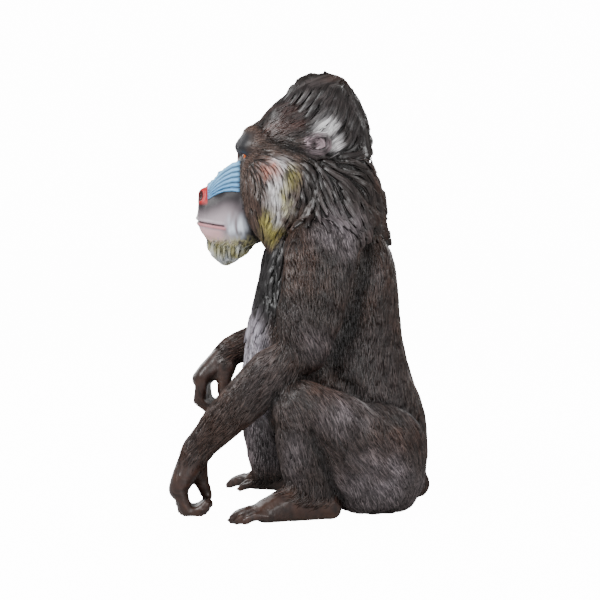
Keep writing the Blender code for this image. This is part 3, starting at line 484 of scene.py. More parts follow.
def set_eyes(places):
    """Shape lids round each eyeball and clear the skin from its front."""
    moved = places
    for side in (-1, 1):
        centre = on_side(EYE_PLACE, side) + SHIFT
        gaze = unit(on_side(GAZE, side))
        across = unit(np.cross(gaze, (0, 0, 1.0)))
        upward = np.cross(across, gaze)
        offset = places - centre
        wide = np.abs(offset @ across) / LID_HALF_WIDTH
        high = (offset @ upward + 0.0004) / LID_HALF_HEIGHT
        opening = np.sqrt(wide ** 2 + high ** 2 * (1 + wide ** 2))
        near = (np.linalg.norm(offset, axis=1) < LID_REACH) & (offset @ gaze > -0.001)
        lid = near * fall(opening, 1.5, 2.3)
        target = np.where(opening < 1.0, EYE_RADIUS - 0.0030,
                          EYE_RADIUS + 0.0004 + 0.0015 * ramp(opening, 1.0, 1.3))
        wanted = centre + unit(offset) * target[:, None]
        inner = fall(opening, 1.35, 1.75)
        moved = mix(moved, wanted, lid * np.where(opening < 1.0, 1.0, inner))
    return moved


def shape_ears(places, normals, parts, net):
    """Give each ear its rolled rim, its cup and the canal at its front."""
    for side, name in ((-1, "ear_right"), (1, "ear_left")):
        mine = net.even((parts == NUMBER[name]).astype(float), 3)
        centre = on_side(EAR_PLACE, side) + SHIFT
        offset = places - centre
        back, up = offset[:, 1], offset[:, 2]
        back = back * (1.0 + mine * (0.02 - 0.50 * ramp(-up, -0.004, 0.018)))
        up = up * (1.0 - 0.16 * mine)
        reach = np.hypot(back, up) / EAR_REACH
        outward = offset[:, 0] * side
        canal = np.exp(-(((back + 0.0045) / 0.0075) ** 2 + ((up + 0.0005) / 0.0095) ** 2))
        rim = ridge(reach - 0.86, 0.15) * ramp(back + 1.3 * up, -0.002, 0.008)
        relief = (EAR_FLOOR + EAR_RIM * rim - EAR_CANAL * canal
                  - EAR_EDGE * ramp(reach, 0.96, 1.15))
        front = net.even(ramp(normals[:, 0] * side, 0.0, 0.4), 2) * mine
        outward = outward + (relief - outward) * front
        places = centre + np.column_stack((outward * side, back, up))
    return net.relax(places, net.even(among(parts, "ear").astype(float), 2), 5, 0.45)


# How the hair of the head lies in side view: Y, Z and its angle, 0 for back and 90 for up
HAIR_GUIDES = (
    (-0.090, 0.697, 40), (-0.068, 0.721, 47), (-0.039, 0.748, 47), (-0.009, 0.769, 46),
    (0.021, 0.784, 50), (0.054, 0.780, 50), (0.081, 0.762, 60), (0.104, 0.730, 68),
    (0.118, 0.697, 76), (0.125, 0.667, 80), (-0.045, 0.712, 45), (-0.018, 0.730, 50),
    (0.009, 0.748, 58), (0.036, 0.751, 66), (0.063, 0.744, 84), (0.084, 0.715, 78),
    (0.098, 0.685, 72), (-0.018, 0.685, 25), (-0.054, 0.685, 25), (0.009, 0.703, 40),
    (0.036, 0.708, 52), (0.057, 0.690, 50), (0.075, 0.667, 48), (0.104, 0.658, 60),
    (0.050, 0.654, 45), (0.072, 0.634, 12), (0.098, 0.634, 5), (0.122, 0.625, -45),
    (0.057, 0.622, -50), (0.086, 0.613, -40), (0.111, 0.595, -58), (0.132, 0.568, -68),
    (0.036, 0.604, -85), (0.057, 0.586, -60), (0.090, 0.568, -55), (0.116, 0.541, -62),
    (0.147, 0.514, -70), (0.045, 0.559, -80), (-0.081, 0.667, 5), (-0.054, 0.658, -3),
    (-0.027, 0.654, -8), (-0.004, 0.643, -30), (0.005, 0.622, -62), (0.012, 0.595, -85),
    (-0.090, 0.640, -25), (-0.068, 0.636, -35), (-0.045, 0.631, -45), (-0.018, 0.618, -65),
    (-0.086, 0.604, -72), (-0.063, 0.595, -80), (-0.036, 0.586, -82), (-0.009, 0.577, -98),
    (-0.086, 0.559, -80), (-0.061, 0.546, -90), (-0.032, 0.541, -108), (-0.012, 0.541, -120),
    (-0.068, 0.505, -82), (-0.043, 0.500, -105), (-0.027, 0.505, -125), (-0.122, 0.528, -95),
    (-0.115, 0.510, -105), (-0.134, 0.495, -110), (-0.152, 0.486, -95), (-0.107, 0.541, -75),
)
GUIDE_REACH = 0.015
# How the fur lies on limbs and tail, as directions
LIMB_FLOWS = {
    "upper_arm_left": (0.12, 0.22, -1.0), "upper_arm_right": (-0.12, 0.22, -1.0),
    "forearm_left": (-0.05, -0.70, -0.85), "forearm_right": (0.08, -0.95, -0.45),
    "hand_left": (-0.03, -0.44, -0.89), "hand_right": (0.04, -0.74, -0.67),
    "thigh_left": (0.0, 0.55, -1.0), "thigh_right": (0.0, 0.55, -1.0),
    "lower_leg_left": (0.0, 0.10, -1.0), "lower_leg_right": (0.0, 0.10, -1.0),
    "foot_left": (0.22, -1.0, -0.25), "foot_right": (-0.50, -1.0, -0.25),
    "tail": (0.0, 0.6, -1.0),
}


def lie_of_coat(places, parts):
    """The direction in which the fur lies at each place."""
    here = places - SHIFT
    x, y, z = here.T
    flow = np.tile(np.array((0.0, 0.05, -1.0)), (len(places), 1))
    pull = np.zeros((len(places), 2))
    for near, up, angle in HAIR_GUIDES:
        weight = np.exp(-((y - near) ** 2 + (z - up) ** 2) / (2 * GUIDE_REACH ** 2)) + 1e-9
        turn = math.radians(angle)
        pull += weight[:, None] * (math.cos(turn), math.sin(turn))
    hairy = among(parts, "crest", "mane", "head", "ruff", "ear")
    flow[hairy] = np.column_stack((0.0 * x, unit(pull)))[hairy]
    beard = parts == NUMBER["beard"]
    slant = np.interp(y, (-0.17, -0.09), (0.45, -0.25))
    flow[beard] = np.column_stack((-6.0 * x, slant, -np.ones_like(x)))[beard]
    trunk = among(parts, *TRUNK)
    swing = 0.45 * np.sin(x * 40 + z * 60) * fall(y, 0.0, 0.05)
    drift = swing + 0.15 * np.sign(x) * (y > 0.03)
    flow[trunk] = np.column_stack((drift, 0.0 * x, -np.ones_like(x)))[trunk]
    for name, direction in LIMB_FLOWS.items():
        flow[parts == NUMBER[name]] = direction
    turned = np.column_stack((0.0 * x, flow[:, 2], -flow[:, 1]))
    swirl = 0.32 * cloud(here, 14.0) + 0.26 * cloud(here, 33.0, 9.0)
    return unit(flow + turned * swirl[:, None])


def grain_places(places, lie, parts):
    """Places drawn out along the fur, or across it on hands and feet, for a carved grain."""
    bare = among(parts, "hand", "foot")
    along = (places * lie).sum(axis=1, keepdims=True) * lie
    across = places - along
    return np.where(bare[:, None], along * 0.5 + across * 0.16, across * 2.0 + along * 0.35)


# The paint that each kind of part starts with, where it isn't the fur's
GROUND_PAINTS = {"crest": "hair", "mane": "hair", "neck": "hair", "ruff": "cheek",
                 "beard": "beard", "head": "cheek", "ear": "ear", "eye": "slate",
                 "hand": "hand", "foot": "hand", "tail": "hand"}
# Lighter and darker paint of some parts
PAINT_SHARES = {"mane": 1.40, "crest": 0.80, "upper_arm": 0.78, "forearm": 1.30, "thigh": 1.10}
# Greyer places of the fur in side view, partly the fur's own grey and partly a painted sheen
# on the tops of shoulder and thigh: Y, Z, half sizes and strength
GREY_AND_SHEEN_DABS = (
    (0.080, 0.515, 0.085, 0.066, 1.30), (0.135, 0.430, 0.035, 0.045, 0.45),
    (0.030, 0.310, 0.045, 0.050, 0.40), (0.070, 0.190, 0.085, 0.055, 0.75),
    (0.140, 0.080, 0.090, 0.080, 1.00), (-0.005, 0.120, 0.036, 0.070, 0.55),
    (-0.060, 0.270, 0.035, 0.035, 0.30),
)


class PaintJob:
    """Paint that is laid on in layers, from a set of paints."""

    def __init__(self, rows, colours):
        self.rows = rows
        self.colours = colours

    def lay(self, paint, share):
        """Blend in a paint, given by name or as rows, by a share for each place."""
        rows = self.colours[paint] if isinstance(paint, str) else paint
        self.rows = mix(self.rows, rows, share)

    def shade(self, factors):
        """Darken or lighten each place."""
        self.rows = self.rows * factors[:, None]


def paint_skin(places, lie, parts, net, colours):
    """The paint at each place of the skin."""
    folded = side_places(places)
    x, y, z = folded.T
    here = places - SHIFT
    broad = cloud(here, 9.0)
    fine = cloud(here, 38.0, 7.0)
    palette = np.array([colours[GROUND_PAINTS.get(kind(name), "fur")] for name in BODY_NODES])
    ground = palette[parts] * per_part(parts, PAINT_SHARES, 1.0)[:, None]
    job = PaintJob(net.even(ground, 3), colours)
    furry = among(parts, *FUR_KINDS, "crest", "mane")
    job.lay("fur_warm", 0.50 * ramp(broad + 0.6 * fine, 0.05, 0.45) * furry)
    job.lay("fur_grey", 0.40 * ramp(0.5 * fine - broad, 0.05, 0.40) * furry)

    trunk = among(parts, *TRUNK)
    job.lay("chest", fall(y, -0.045, -0.015) * trunk * ramp(z, 0.335, 0.375))
    wisps = cloud(here, (90.0, 90.0, 22.0), 4.0)
    belly = fall(y, -0.078, -0.048) * fall(z + 0.03 * wisps, 0.325, 0.375) * trunk
    job.lay("belly", np.clip(belly * (0.75 + 0.9 * wisps), 0, 1))
    under = among(parts, "thigh", "rump") * fall(z, 0.045, 0.110) * ramp(y, 0.03, 0.09)
    job.lay("haunch", 0.25 * under)
    inner = among(parts, "lower_leg") * fall(x, 0.115, 0.150) * ramp(z, 0.03, 0.07)
    job.lay("haunch", 0.75 * inner)
    job.lay("chest", 0.70 * inner * ramp(y, -0.098, -0.070))
    # Grey dabs: the fur's own grey, with a painted sheen on the tops of shoulder and thigh
    for near, up, half_near, half_high, strength in GREY_AND_SHEEN_DABS:
        dab = spot(folded, (0.14, near, up), (0.12, half_near, half_high), 0.15) * furry
        job.lay("haunch", strength * dab * np.clip(0.7 + 0.9 * fine, 0, 1))

    # Hands and feet lighter on the raised wrinkles and darker in their troughs, following the
    # carving: partly their own darker creases, partly painted highlight and shade
    wrinkles = wrinkles_at(places, lie, parts)
    job.shade(1.0 + 0.8 * wrinkles * among(parts, "hand", "foot"))
    job.lay("fur_warm", 0.6 * ramp(fine, 0.0, 0.5) * among(parts, "hand", "foot", "tail"))
    # Painted shade: darker in the creases between parts and in the deep grooves
    crease = crease_share(places, parts, net)
    crease = np.maximum(crease * 0.45, groove_depth(places, 0.7) / 0.0145)
    job.shade(1.0 - np.clip(crease, 0, 0.78))

    job.lay(job.rows * 0.62, fine_hair(folded) * among(parts, "crest"))
    crown = among(parts, "crest", "mane", "head")
    rusty = spot(folded, (0.060, -0.035, 0.712), (0.070, 0.066, 0.052), 0.35) * crown
    job.lay("rust", 0.75 * rusty * (0.55 + 0.9 * fine))
    white = np.maximum(spot(folded, (0.080, 0.048, 0.697), (0.090, 0.032, 0.023), 0.35),
                       spot(folded, (0.085, 0.062, 0.670), (0.090, 0.016, 0.030), 0.35))
    job.lay("white", np.clip(white * (0.9 + 0.6 * fine), 0, 1) * crown)
    paint_cheeks(job, folded, parts)
    paint_face(job, folded, parts, fine)
    return np.clip(job.rows, 0.002, 1.0)


# Dabs of paint on the cheeks in side view: colour, Y, Z, half sizes and strength
CHEEK_DABS = (
    ("white", -0.034, 0.628, 0.034, 0.020, 0.65), ("white", -0.040, 0.595, 0.026, 0.042, 0.75),
    ("white", -0.046, 0.562, 0.022, 0.034, 0.70), ("white", -0.024, 0.562, 0.016, 0.036, 0.45),
    ("gold", -0.014, 0.606, 0.020, 0.034, 0.55), ("gold", -0.030, 0.580, 0.014, 0.022, 0.35),
    ("gold", -0.024, 0.560, 0.015, 0.032, 0.40), ("gold", -0.052, 0.522, 0.028, 0.042, 0.60),
    ("gold", -0.040, 0.505, 0.026, 0.030, 0.40),
    ("white", -0.040, 0.533, 0.016, 0.024, 0.60), ("flesh", -0.054, 0.618, 0.032, 0.026, 0.55),
    ("muzzle_dark", 0.012, 0.575, 0.016, 0.070, 0.60),
)


def paint_cheeks(job, folded, parts):
    """The brown, white and gold cheeks."""
    x, y, z = folded.T
    place = (among(parts, "head", "ruff", "mane") * ramp(x, 0.02, 0.035)
             * (1.0 - bare_face(folded)) * fall(y, 0.010, 0.022) * fall(z, 0.650, 0.668))
    streaks = (cloud(folded, (0.0, 210.0, 50.0), 3.0)
               + 0.5 * cloud(folded, (0.0, 90.0, 22.0), 8.0))
    cheeks = PaintJob(job.colours["cheek"], job.colours)
    for name, near, high, half_near, half_high, strength in CHEEK_DABS:
        dab = spot(folded, (0.08, near, high), (9.0, half_near, half_high), 0.25)
        cheeks.lay(name, np.clip(dab * (strength + 1.25 * streaks), 0, 1))
    cheeks.lay("hair", ramp(y, 0.004, 0.016))
    job.lay(cheeks.rows, place)


def paint_face(job, folded, parts, fine):
    """The bare face with its blue swellings and red nose, the beard and the ears."""
    x, y, z = folded.T
    head = parts == NUMBER["head"]
    face = head | among(parts, "eye")
    muzzle = bare_face(folded) * face
    below = z - np.interp(y, BLUE_Y, BLUE_LOW)
    line = z - np.interp(y, MOUTH_Y, MOUTH_Z)
    streaks = cloud(folded, (120.0, 160.0, 25.0), 5.0)
    job.lay("slate", muzzle)
    lip = muzzle * fall(below, -0.004, 0.002)
    job.lay("muzzle_dark", lip)
    pale = lip * fall(below, -0.046, -0.010) * fall(y + 0.008 * fine, -0.146, -0.092)
    job.lay("muzzle", pale * (0.85 + 0.3 * fine))
    under_nose = spot(folded, (0.0, -0.186, 0.553), (0.020, 0.014, 0.018), 0.2) * muzzle
    job.lay("pink", 0.8 * under_nose)
    lips = ridge(line + 0.0038, 0.0034) * fall(y, -0.137, -0.132) * muzzle
    job.lay("lip", 0.85 * lips)
    chin = (muzzle * fall(y, -0.150, -0.132) * fall(line, -0.012, -0.006)
            * ramp(z + 0.010 * streaks, 0.487, 0.497))
    job.lay("pink", 0.85 * chin)
    corner = spot(folded, MOUTH_CORNER_FUR, MOUTH_CORNER_SIZE, 0.10) * muzzle
    job.lay("frost", np.clip(corner * (0.6 + 1.3 * streaks), 0, 1))

    jaw = head * fall(z + 0.014 * streaks, 0.490, 0.506) * fall(y, -0.10, -0.07)
    job.lay("beard", np.clip(jaw * (0.6 + 1.2 * streaks), 0, 1))
    beard = parts == NUMBER["beard"]
    job.lay("frost", 0.65 * beard * fall(z, 0.452, 0.478))
    job.lay("frost", beard * np.clip(0.15 + 1.3 * streaks, 0, 0.8))
    job.lay("gold", beard * np.clip(0.10 - 1.6 * streaks, 0, 0.7))
    job.lay("muzzle_dark", 0.8 * beard * ramp(y, -0.110, -0.086))

    blue, down = blue_share(folded)
    ridges = PaintJob(job.colours["blue"], job.colours)
    ridges.lay("blue_deep", ramp(down, 0.1, 0.9))
    ridges.lay("groove", 0.90 * groove_share(down + 0.012, 0.030))
    ridges.lay("groove", 0.5 * ramp(y, -0.116, -0.110))
    job.lay(ridges.rows, blue * head)
    bridge = (fall(x, 0.0070, 0.0094) * band(y, -0.175, -0.100, 0.004) * ramp(z, 0.565, 0.58)
              * fall(z, 0.652, 0.660))
    reds = mix(job.colours["red"], job.colours["rust"], ramp(z, 0.625, 0.645))
    job.lay(reds, bridge * face)
    job.lay("red", fall(y, -0.1700, -0.1670) * band(z, 0.561, 0.604, 0.005) * head)
    job.lay("nostril", spot(folded, NOSTRIL, NOSTRIL_SIZE, 0.75) * head)
    job.lay("slit", ridge(line, 0.0014) * fall(y, -0.1385, -0.135) * muzzle)
    job.lay("lid", spot(folded, EYE_PLACE, (0.020, 0.020, 0.012), 0.45) * face)
    # Painted shade: the carved ear canal darkened with the near-black of the mouth's slit
    canal = spot(folded, (0.085, 0.0235, 0.6640), (9.0, 0.0085, 0.0105), 0.45)
    job.lay("slit", 0.97 * canal * among(parts, "ear"))


def smart_unwrap(obj):
    """Unwrap a piece on its own shape."""
    bpy.ops.object.select_all(action="DESELECT")
    bpy.context.view_layer.objects.active = obj
    obj.select_set(True)
    bpy.ops.object.mode_set(mode="EDIT")
    bpy.ops.mesh.select_all(action="SELECT")
    bpy.ops.uv.smart_project(angle_limit=math.radians(66), island_margin=0.001)
    bpy.ops.object.mode_set(mode="OBJECT")
    obj.select_set(False)


def add_attribute(mesh, name, values, form="FLOAT"):
    """Store a value for each corner of a mesh."""
    key = {"FLOAT": "value", "INT": "value", "FLOAT_VECTOR": "vector", "FLOAT_COLOR": "color"}[form]
    if form == "FLOAT_COLOR":
        values = np.column_stack((values, np.ones(len(values))))
    layer = mesh.attributes.new(name, form, "POINT")
    layer.data.foreach_set(key, np.ascontiguousarray(values).ravel())


class Surface:
    """The skin as rows of numbers, to set the coat on."""

    def __init__(self, obj):
        mesh = obj.data
        mesh.calc_loop_triangles()
        self.places = read(mesh.vertices, "co", 3)
        normals = read(mesh.vertex_normals, "vector", 3)
        lie = read(mesh.attributes["Lie"].data, "vector", 3)
        paint = read(mesh.attributes["Paint"].data, "color", 4)[:, :3]
        parts = read(mesh.attributes["Part"].data, "value", 1, np.int32)
        self.triangles = read(mesh.loop_triangles, "vertices", 3, np.int32)
        self.tree = BVHTree.FromPolygons(self.places.tolist(), self.triangles.tolist())
        corners = self.places[self.triangles]
        self.areas = np.linalg.norm(np.cross(corners[:, 1] - corners[:, 0],
                                             corners[:, 2] - corners[:, 0]), axis=1) / 2
        loops = read(mesh.loop_triangles, "loops", 3, np.int32)
        flat = read(mesh.uv_layers["Skin"].uv, "vector", 2)
        self.unwrap = flat[loops].mean(axis=1)
        self.facing = unit(normals[self.triangles].mean(axis=1))
        self.heading = lie[self.triangles].mean(axis=1)
        self.colour = paint[self.triangles].mean(axis=1)
        self.centres = corners.mean(axis=1)
        self.folded = side_places(self.centres)
        self.owner = parts[self.triangles[:, 0]]

    def roots(self, density, draw):
        """Random faces and places on them, so many to each square metre."""
        chance = self.areas * density
        count = int(round(chance.sum()))
        faces = draw.choice(len(chance), size=count, p=chance / chance.sum())
        a, b = draw.random(count), draw.random(count)
        over = a + b > 1
        a[over], b[over] = 1 - a[over], 1 - b[over]
        corners = self.places[self.triangles[faces]]
        places = (corners[:, 0] + (corners[:, 1] - corners[:, 0]) * a[:, None]
                  + (corners[:, 2] - corners[:, 0]) * b[:, None])
        return faces, places

    def spread(self, density, gap, draw):
        """Random roots that keep a distance from one another."""
        faces, places = self.roots(density, draw)
        cells = {}
        kept = []
        for index, place in enumerate(places.tolist()):
            cell = tuple(int(value // gap) for value in place)
            around = (cells.get((cell[0] + i, cell[1] + j, cell[2] + k), ())
                      for i in (-1, 0, 1) for j in (-1, 0, 1) for k in (-1, 0, 1))
            if all(math.dist(place, other) > gap for group in around for other in group):
                cells.setdefault(cell, []).append(place)
                kept.append(index)
        return faces[kept], places[kept]

    def follow(self, faces, places, lengths, steps, sway):
        """Paths that run along the lie of the coat over the skin."""
        rows = []
        heading = self.heading[faces]
        for step in range(steps + 1):
            if step:
                found = [self.tree.find_nearest(place) for place in places.tolist()]
                places = np.array([tuple(hit[0]) for hit in found])
                faces = np.array([hit[2] for hit in found])
            facing = self.facing[faces]
            heading = 0.45 * heading + 0.55 * self.heading[faces]
            heading = unit(heading - facing * (heading * facing).sum(axis=1, keepdims=True))
            turn = (sway[:, step] / steps)[:, None]
            heading = heading * np.cos(turn) + np.cross(facing, heading) * np.sin(turn)
            rows.append((places, facing, heading, faces))
            places = places + heading * (lengths / steps)[:, None]
        return [np.stack(column, axis=1) for column in zip(*rows)]


@functools.cache
def skin_surface():
    return Surface(bpy.data.objects["skin"])


STRAND_RUN = 0.004      # how far the fine lines' pattern runs along one tuft
STRAND_STEP = 0.618     # and how it changes from one tuft to the next
BAKE_PATCH = 0.0014     # half the patch of the skin's unwrap that a tuft takes
# Outlines across a stroke and a lock, how light the paint is there (lighter on the ridges and
# darker at the edges: dry-brush and wash, partly painted highlight and painted shade), and a
# stroke's shape and tone along its length (darker at the root as painted shade)
STROKE_SECTION = np.array(((-1.0, -0.30), (0.15, 1.0), (1.0, -0.30)))
STROKE_BRUSH_AND_PAINTED_LIGHT = np.array((0.32, 1.35, 0.42))
STROKE_WIDTHS = np.array((0.55, 1.0, 0.72, 0.0))
STROKE_HEIGHTS = np.array((0.15, 1.0, 0.80, 0.30))
STROKE_ROOT_SHADE_TONES = np.array((0.75, 1.0, 1.05, 1.15))
LOCK_SECTION = np.array(((-1.0, -0.45), (-0.93, 0.15), (-0.70, 0.70), (-0.46, 0.52), (-0.18, 1.0),
                         (0.08, 0.70), (0.36, 0.96), (0.58, 0.50), (0.80, 0.58), (0.96, 0.05),
                         (1.0, -0.45)))
LOCK_BRUSH_AND_PAINTED_LIGHT = np.array((0.06, 0.20, 1.10, 0.42, 1.45, 0.55, 1.45, 0.42, 1.05, 0.20, 0.06))
LOCK_STEPS = 9
LOCK_TRIES = 60000.0             # roots tried on each square metre before they are thinned
NAPE_HEIGHTS = (0.505, 0.610)    # between which the mane's locks grow to their full length


def tuft_piece(name, paths, shape, section, brushed_and_painted_light, tones_and_shade, material):
    """Closed tapered tufts along paths, joined in one piece.

    shape has the half width, height and rise of each tuft at each station, section the
    outline across it, and the next two how light the paint is across it and along it:
    lighter on the ridges and darker at the edges, as dry-brush and wash and partly as
    painted highlight and shade, and a random tone that is darker at the root as painted
    shade.
    """
    places, facing, heading, faces = paths
    wide, high, rise = shape
    surface = skin_surface()
    count, stations = faces.shape
    points = len(section)
    each = (stations - 1) * points + 1

    def with_tips(rings, tips):
        """One row for each corner of a tuft: its rings, then its tip."""
        return np.concatenate((rings.reshape(count, each - 1, -1), tips), axis=1)

    across = np.cross(facing, heading)
    steps = np.arange(stations) / (stations - 1)
    aside = wide[:, :-1, None] * section[:, 0]
    above = high[:, :-1, None] * section[:, 1] + rise[:, :-1, None]
    rings = (places[:, :-1, None] + across[:, :-1, None] * aside[..., None]
             + facing[:, :-1, None] * above[..., None])
    tips = places[:, -1] + facing[:, -1] * (rise[:, -1] + high[:, -1])[:, None]
    corners = with_tips(rings, tips[:, None])

    paint = surface.colour[faces]
    # Painted light: lighter on the ridges with a little added highlight, darker at the edges and
    # the root, as brushed paint and as painted highlight and shade
    light = (tones_and_shade[:, :-1, None] * brushed_and_painted_light)[..., None]
    colour = paint[:, :-1, None] * light + 0.030 * np.clip(light - 1.0, 0, 1)
    colour = with_tips(colour, paint[:, -1:] * tones_and_shade[:, -1:, None])
    strand = np.stack(np.broadcast_arrays(
        aside, (steps[:-1] * STRAND_RUN)[:, None],
        (np.arange(count) * STRAND_STEP % 1.0)[:, None, None]), axis=-1)
    strand = with_tips(strand, strand[:, -1, :1] + (0.0, 0.001, 0.0))

    u = np.broadcast_to(section[:, 0] * BAKE_PATCH, (count, stations - 1, points))
    v = np.broadcast_to(((steps[:-1] - 0.5) * 2.0 * BAKE_PATCH)[:, None],
                        (count, stations - 1, points))
    tip_unwrap = np.tile(np.array((0.0, BAKE_PATCH)), (count, 1, 1))
    unwrap = with_tips(np.stack((u, v), axis=-1), tip_unwrap) + surface.unwrap[faces[:, :1]]

    ring = np.arange(points)
    following = (ring + 1) % points
    quads = np.concatenate([
        np.stack((step * points + ring, step * points + following,
                  (step + 1) * points + following, (step + 1) * points + ring), axis=1)
        for step in range(stations - 2)])
    last = (stations - 2) * points
    points_up = np.stack((last + ring, last + following, np.full(points, each - 1)), axis=1)
    pattern = np.concatenate((quads.ravel(), points_up.ravel(), ring[::-1]))
    sizes = np.concatenate((np.full(len(quads), 4), np.full(points, 3), (points,)))
    loops = (pattern[None] + (np.arange(count) * each)[:, None]).ravel().astype(np.int32)
    starts = np.concatenate(((0,), np.cumsum(np.tile(sizes, count))[:-1])).astype(np.int32)

    mesh = bpy.data.meshes.new(name)
    mesh.vertices.add(count * each)
    mesh.vertices.foreach_set("co", corners.ravel())
    mesh.loops.add(len(loops))
    mesh.loops.foreach_set("vertex_index", loops)
    mesh.polygons.add(len(starts))
    mesh.polygons.foreach_set("loop_start", starts)
    mesh.update(calc_edges=True)
    add_attribute(mesh, "Paint", np.clip(colour.reshape(-1, 3), 0.001, 1.0), "FLOAT_COLOR")
    add_attribute(mesh, "Strand", strand.reshape(-1, 3), "FLOAT_VECTOR")
    flat = mesh.uv_layers.new(name="OFBake")
    flat.uv.foreach_set("vector", unwrap.reshape(-1, 2)[loops].ravel())
    mesh.shade_smooth()
    mesh.materials.append(material)
    return new_object(name, mesh)


def stroke_coat(name, choose, sizes, density, material, seed):
    """Strokes of carved fur over the faces that are chosen."""
    surface = skin_surface()
    draw = np.random.default_rng(seed)
    length, half_width, height = sizes
    faces, places = surface.roots(choose(surface) * density, draw)
    count = len(faces)
    stations = len(STROKE_WIDTHS)
    lengths = length * draw.uniform(0.65, 1.30, count)
    sway = np.repeat(draw.normal(0.0, 0.25, (count, 1)), stations, axis=1)
    paths = surface.follow(faces, places, lengths, stations - 1, sway)
    clump = cloud(places, 45.0)[:, None]
    wide = half_width * draw.uniform(0.70, 1.30, (count, 1)) * STROKE_WIDTHS
    high = height * draw.uniform(0.6, 1.4, (count, 1)) * STROKE_HEIGHTS
    rise = height * (0.50 + 1.1 * clump) * np.linspace(0, 1, stations) ** 1.5 - 0.0002
    # Random tone, lighter with the clumps, times the tone along the stroke: darker at the root as
    # painted shade
    tones_and_shade = (0.58 + 1.25 * draw.random((count, 1)) ** 3.0 + 0.42 * clump) * STROKE_ROOT_SHADE_TONES
    return tuft_piece(name, paths, (wide, high, rise), STROKE_SECTION, STROKE_BRUSH_AND_PAINTED_LIGHT, tones_and_shade,
                      material)


def lock_coat(name, choose, sizes, gap, thin, material, seed):
    """Bold sculpted locks, or thin strands, over the faces that are chosen."""
    surface = skin_surface()
    draw = np.random.default_rng(seed)
    length, half_width, height, lift = sizes
    faces, places = surface.spread(choose(surface) * LOCK_TRIES, gap, draw)
    count = len(faces)
    share = np.linspace(0, 1, LOCK_STEPS + 1)
    lengths = length * draw.uniform(0.65, 1.25, count)
    nape = on_parts("mane")(surface)[faces]
    lengths *= 1.0 - nape * (1.0 - np.interp(places[:, 2], NAPE_HEIGHTS, (0.25, 1.0)))
    bend = draw.normal(0.0, 0.55, (count, 1)) * np.cos(share * math.pi * 1.3)
    paths = surface.follow(faces, places, lengths, LOCK_STEPS, bend)
    outline = np.minimum(1.0, 0.50 + 2.4 * share) * (1.0 - share ** 2.2) ** 0.9
    wide = half_width * draw.uniform(0.70, 1.30, (count, 1)) * outline
    body = np.minimum(1.0, 0.1 + 2.6 * share) * (1.0 - 0.60 * share ** 3)
    high = height * draw.uniform(0.75, 1.25, (count, 1)) * body
    rise = lift * draw.uniform(0.2, 1.3, (count, 1)) * share ** 1.6
    # Random tone times painted shade at the root, where a lock comes out from under others,
    # lightening to a painted highlight at the tip
    tones_and_shade = draw.uniform(0.55, 1.30, (count, 1)) * np.interp(share, (0, 0.3, 1), (0.25, 0.95, 1.20))
    section, brushed_and_painted_light = (STROKE_SECTION, STROKE_BRUSH_AND_PAINTED_LIGHT) if thin else (LOCK_SECTION, LOCK_BRUSH_AND_PAINTED_LIGHT)
    return tuft_piece(name, paths, (wide, high, rise), section, brushed_and_painted_light, tones_and_shade, material)


def on_parts(*names):
    """Choose the faces of some parts."""
    numbers = [NUMBER[name] for name in BODY_NODES if name in names or kind(name) in names]
    return lambda surface: np.isin(surface.owner, numbers).astype(float)


def trunk_part(front, side=0):
    """Choose the front of the trunk, or its back on one side."""
    def choose(surface):
        area = (surface.folded[:, 1] < 0.03) == front
        if side:
            area = area & ((surface.centres[:, 0] - SHIFT[0]) * side > 0)
        return on_parts(*TRUNK, "tail")(surface) * area
    return choose


def furry_face(surface):
    """Choose the furry parts of the face, and the jaw under the chin."""
    _, y, z = surface.folded.T
    cheeks = (1.0 - bare_face(surface.folded)) * (z < 0.72)
    jaw = (z < 0.497) & (y > -0.16)
    return on_parts("head")(surface) * ((cheeks > 0.5) | jaw)


def bold_crest(surface):
    """Choose the part of the crest that carries bold locks."""
    return on_parts("crest")(surface) * (fine_hair(surface.folded) < 0.6)


def bold_hair(surface):
    """Choose the bold locks of crest and mane together."""
    return bold_crest(surface) + on_parts("mane")(surface)


def fine_crest(surface):
    """Choose the low fine hair of forehead and temple."""
    return on_parts("crest")(surface) * (fine_hair(surface.folded) > 0.3)


def chest_front(surface):
    """Choose the middle of the chest."""
    x, y, z = surface.folded.T
    return on_parts("chest", "neck")(surface) * (x < 0.070) * (y < -0.015) * (z > 0.362)


def shader_group(name, inputs, outputs):
    """An empty group of shader nodes with named sockets."""
    group = bpy.data.node_groups.new(name, "ShaderNodeTree")
    for label, form, value in inputs:
        socket = group.interface.new_socket(label, in_out="INPUT", socket_type=form)
        if value is not None:
            socket.default_value = value
    for label, form in outputs:
        group.interface.new_socket(label, in_out="OUTPUT", socket_type=form)
    return group, group.nodes.new("NodeGroupInput"), group.nodes.new("NodeGroupOutput")


def set_sockets(node, values):
    """Give a node's input sockets their values."""
    for name, value in values:
        node.inputs[name].default_value = value


def add_node(tree, form, values=(), **settings):
    """A new shader node with its settings and the values of its sockets."""
    node = tree.nodes.new("ShaderNode" + form)
    for name, value in settings.items():
        setattr(node, name, value)
    set_sockets(node, values)
    return node


def wire(tree, *wires):
    """Link sockets, each given as a node and its output, then a node and its input."""
    for start, output, end, entry in wires:
        tree.links.new(start.outputs[output], end.inputs[entry])


def shaded_material(name):
    """A new material, the tree of its nodes and its shader."""
    material = bpy.data.materials.new(name)
    material.use_nodes = True
    return material, material.node_tree, material.node_tree.nodes["Principled BSDF"]


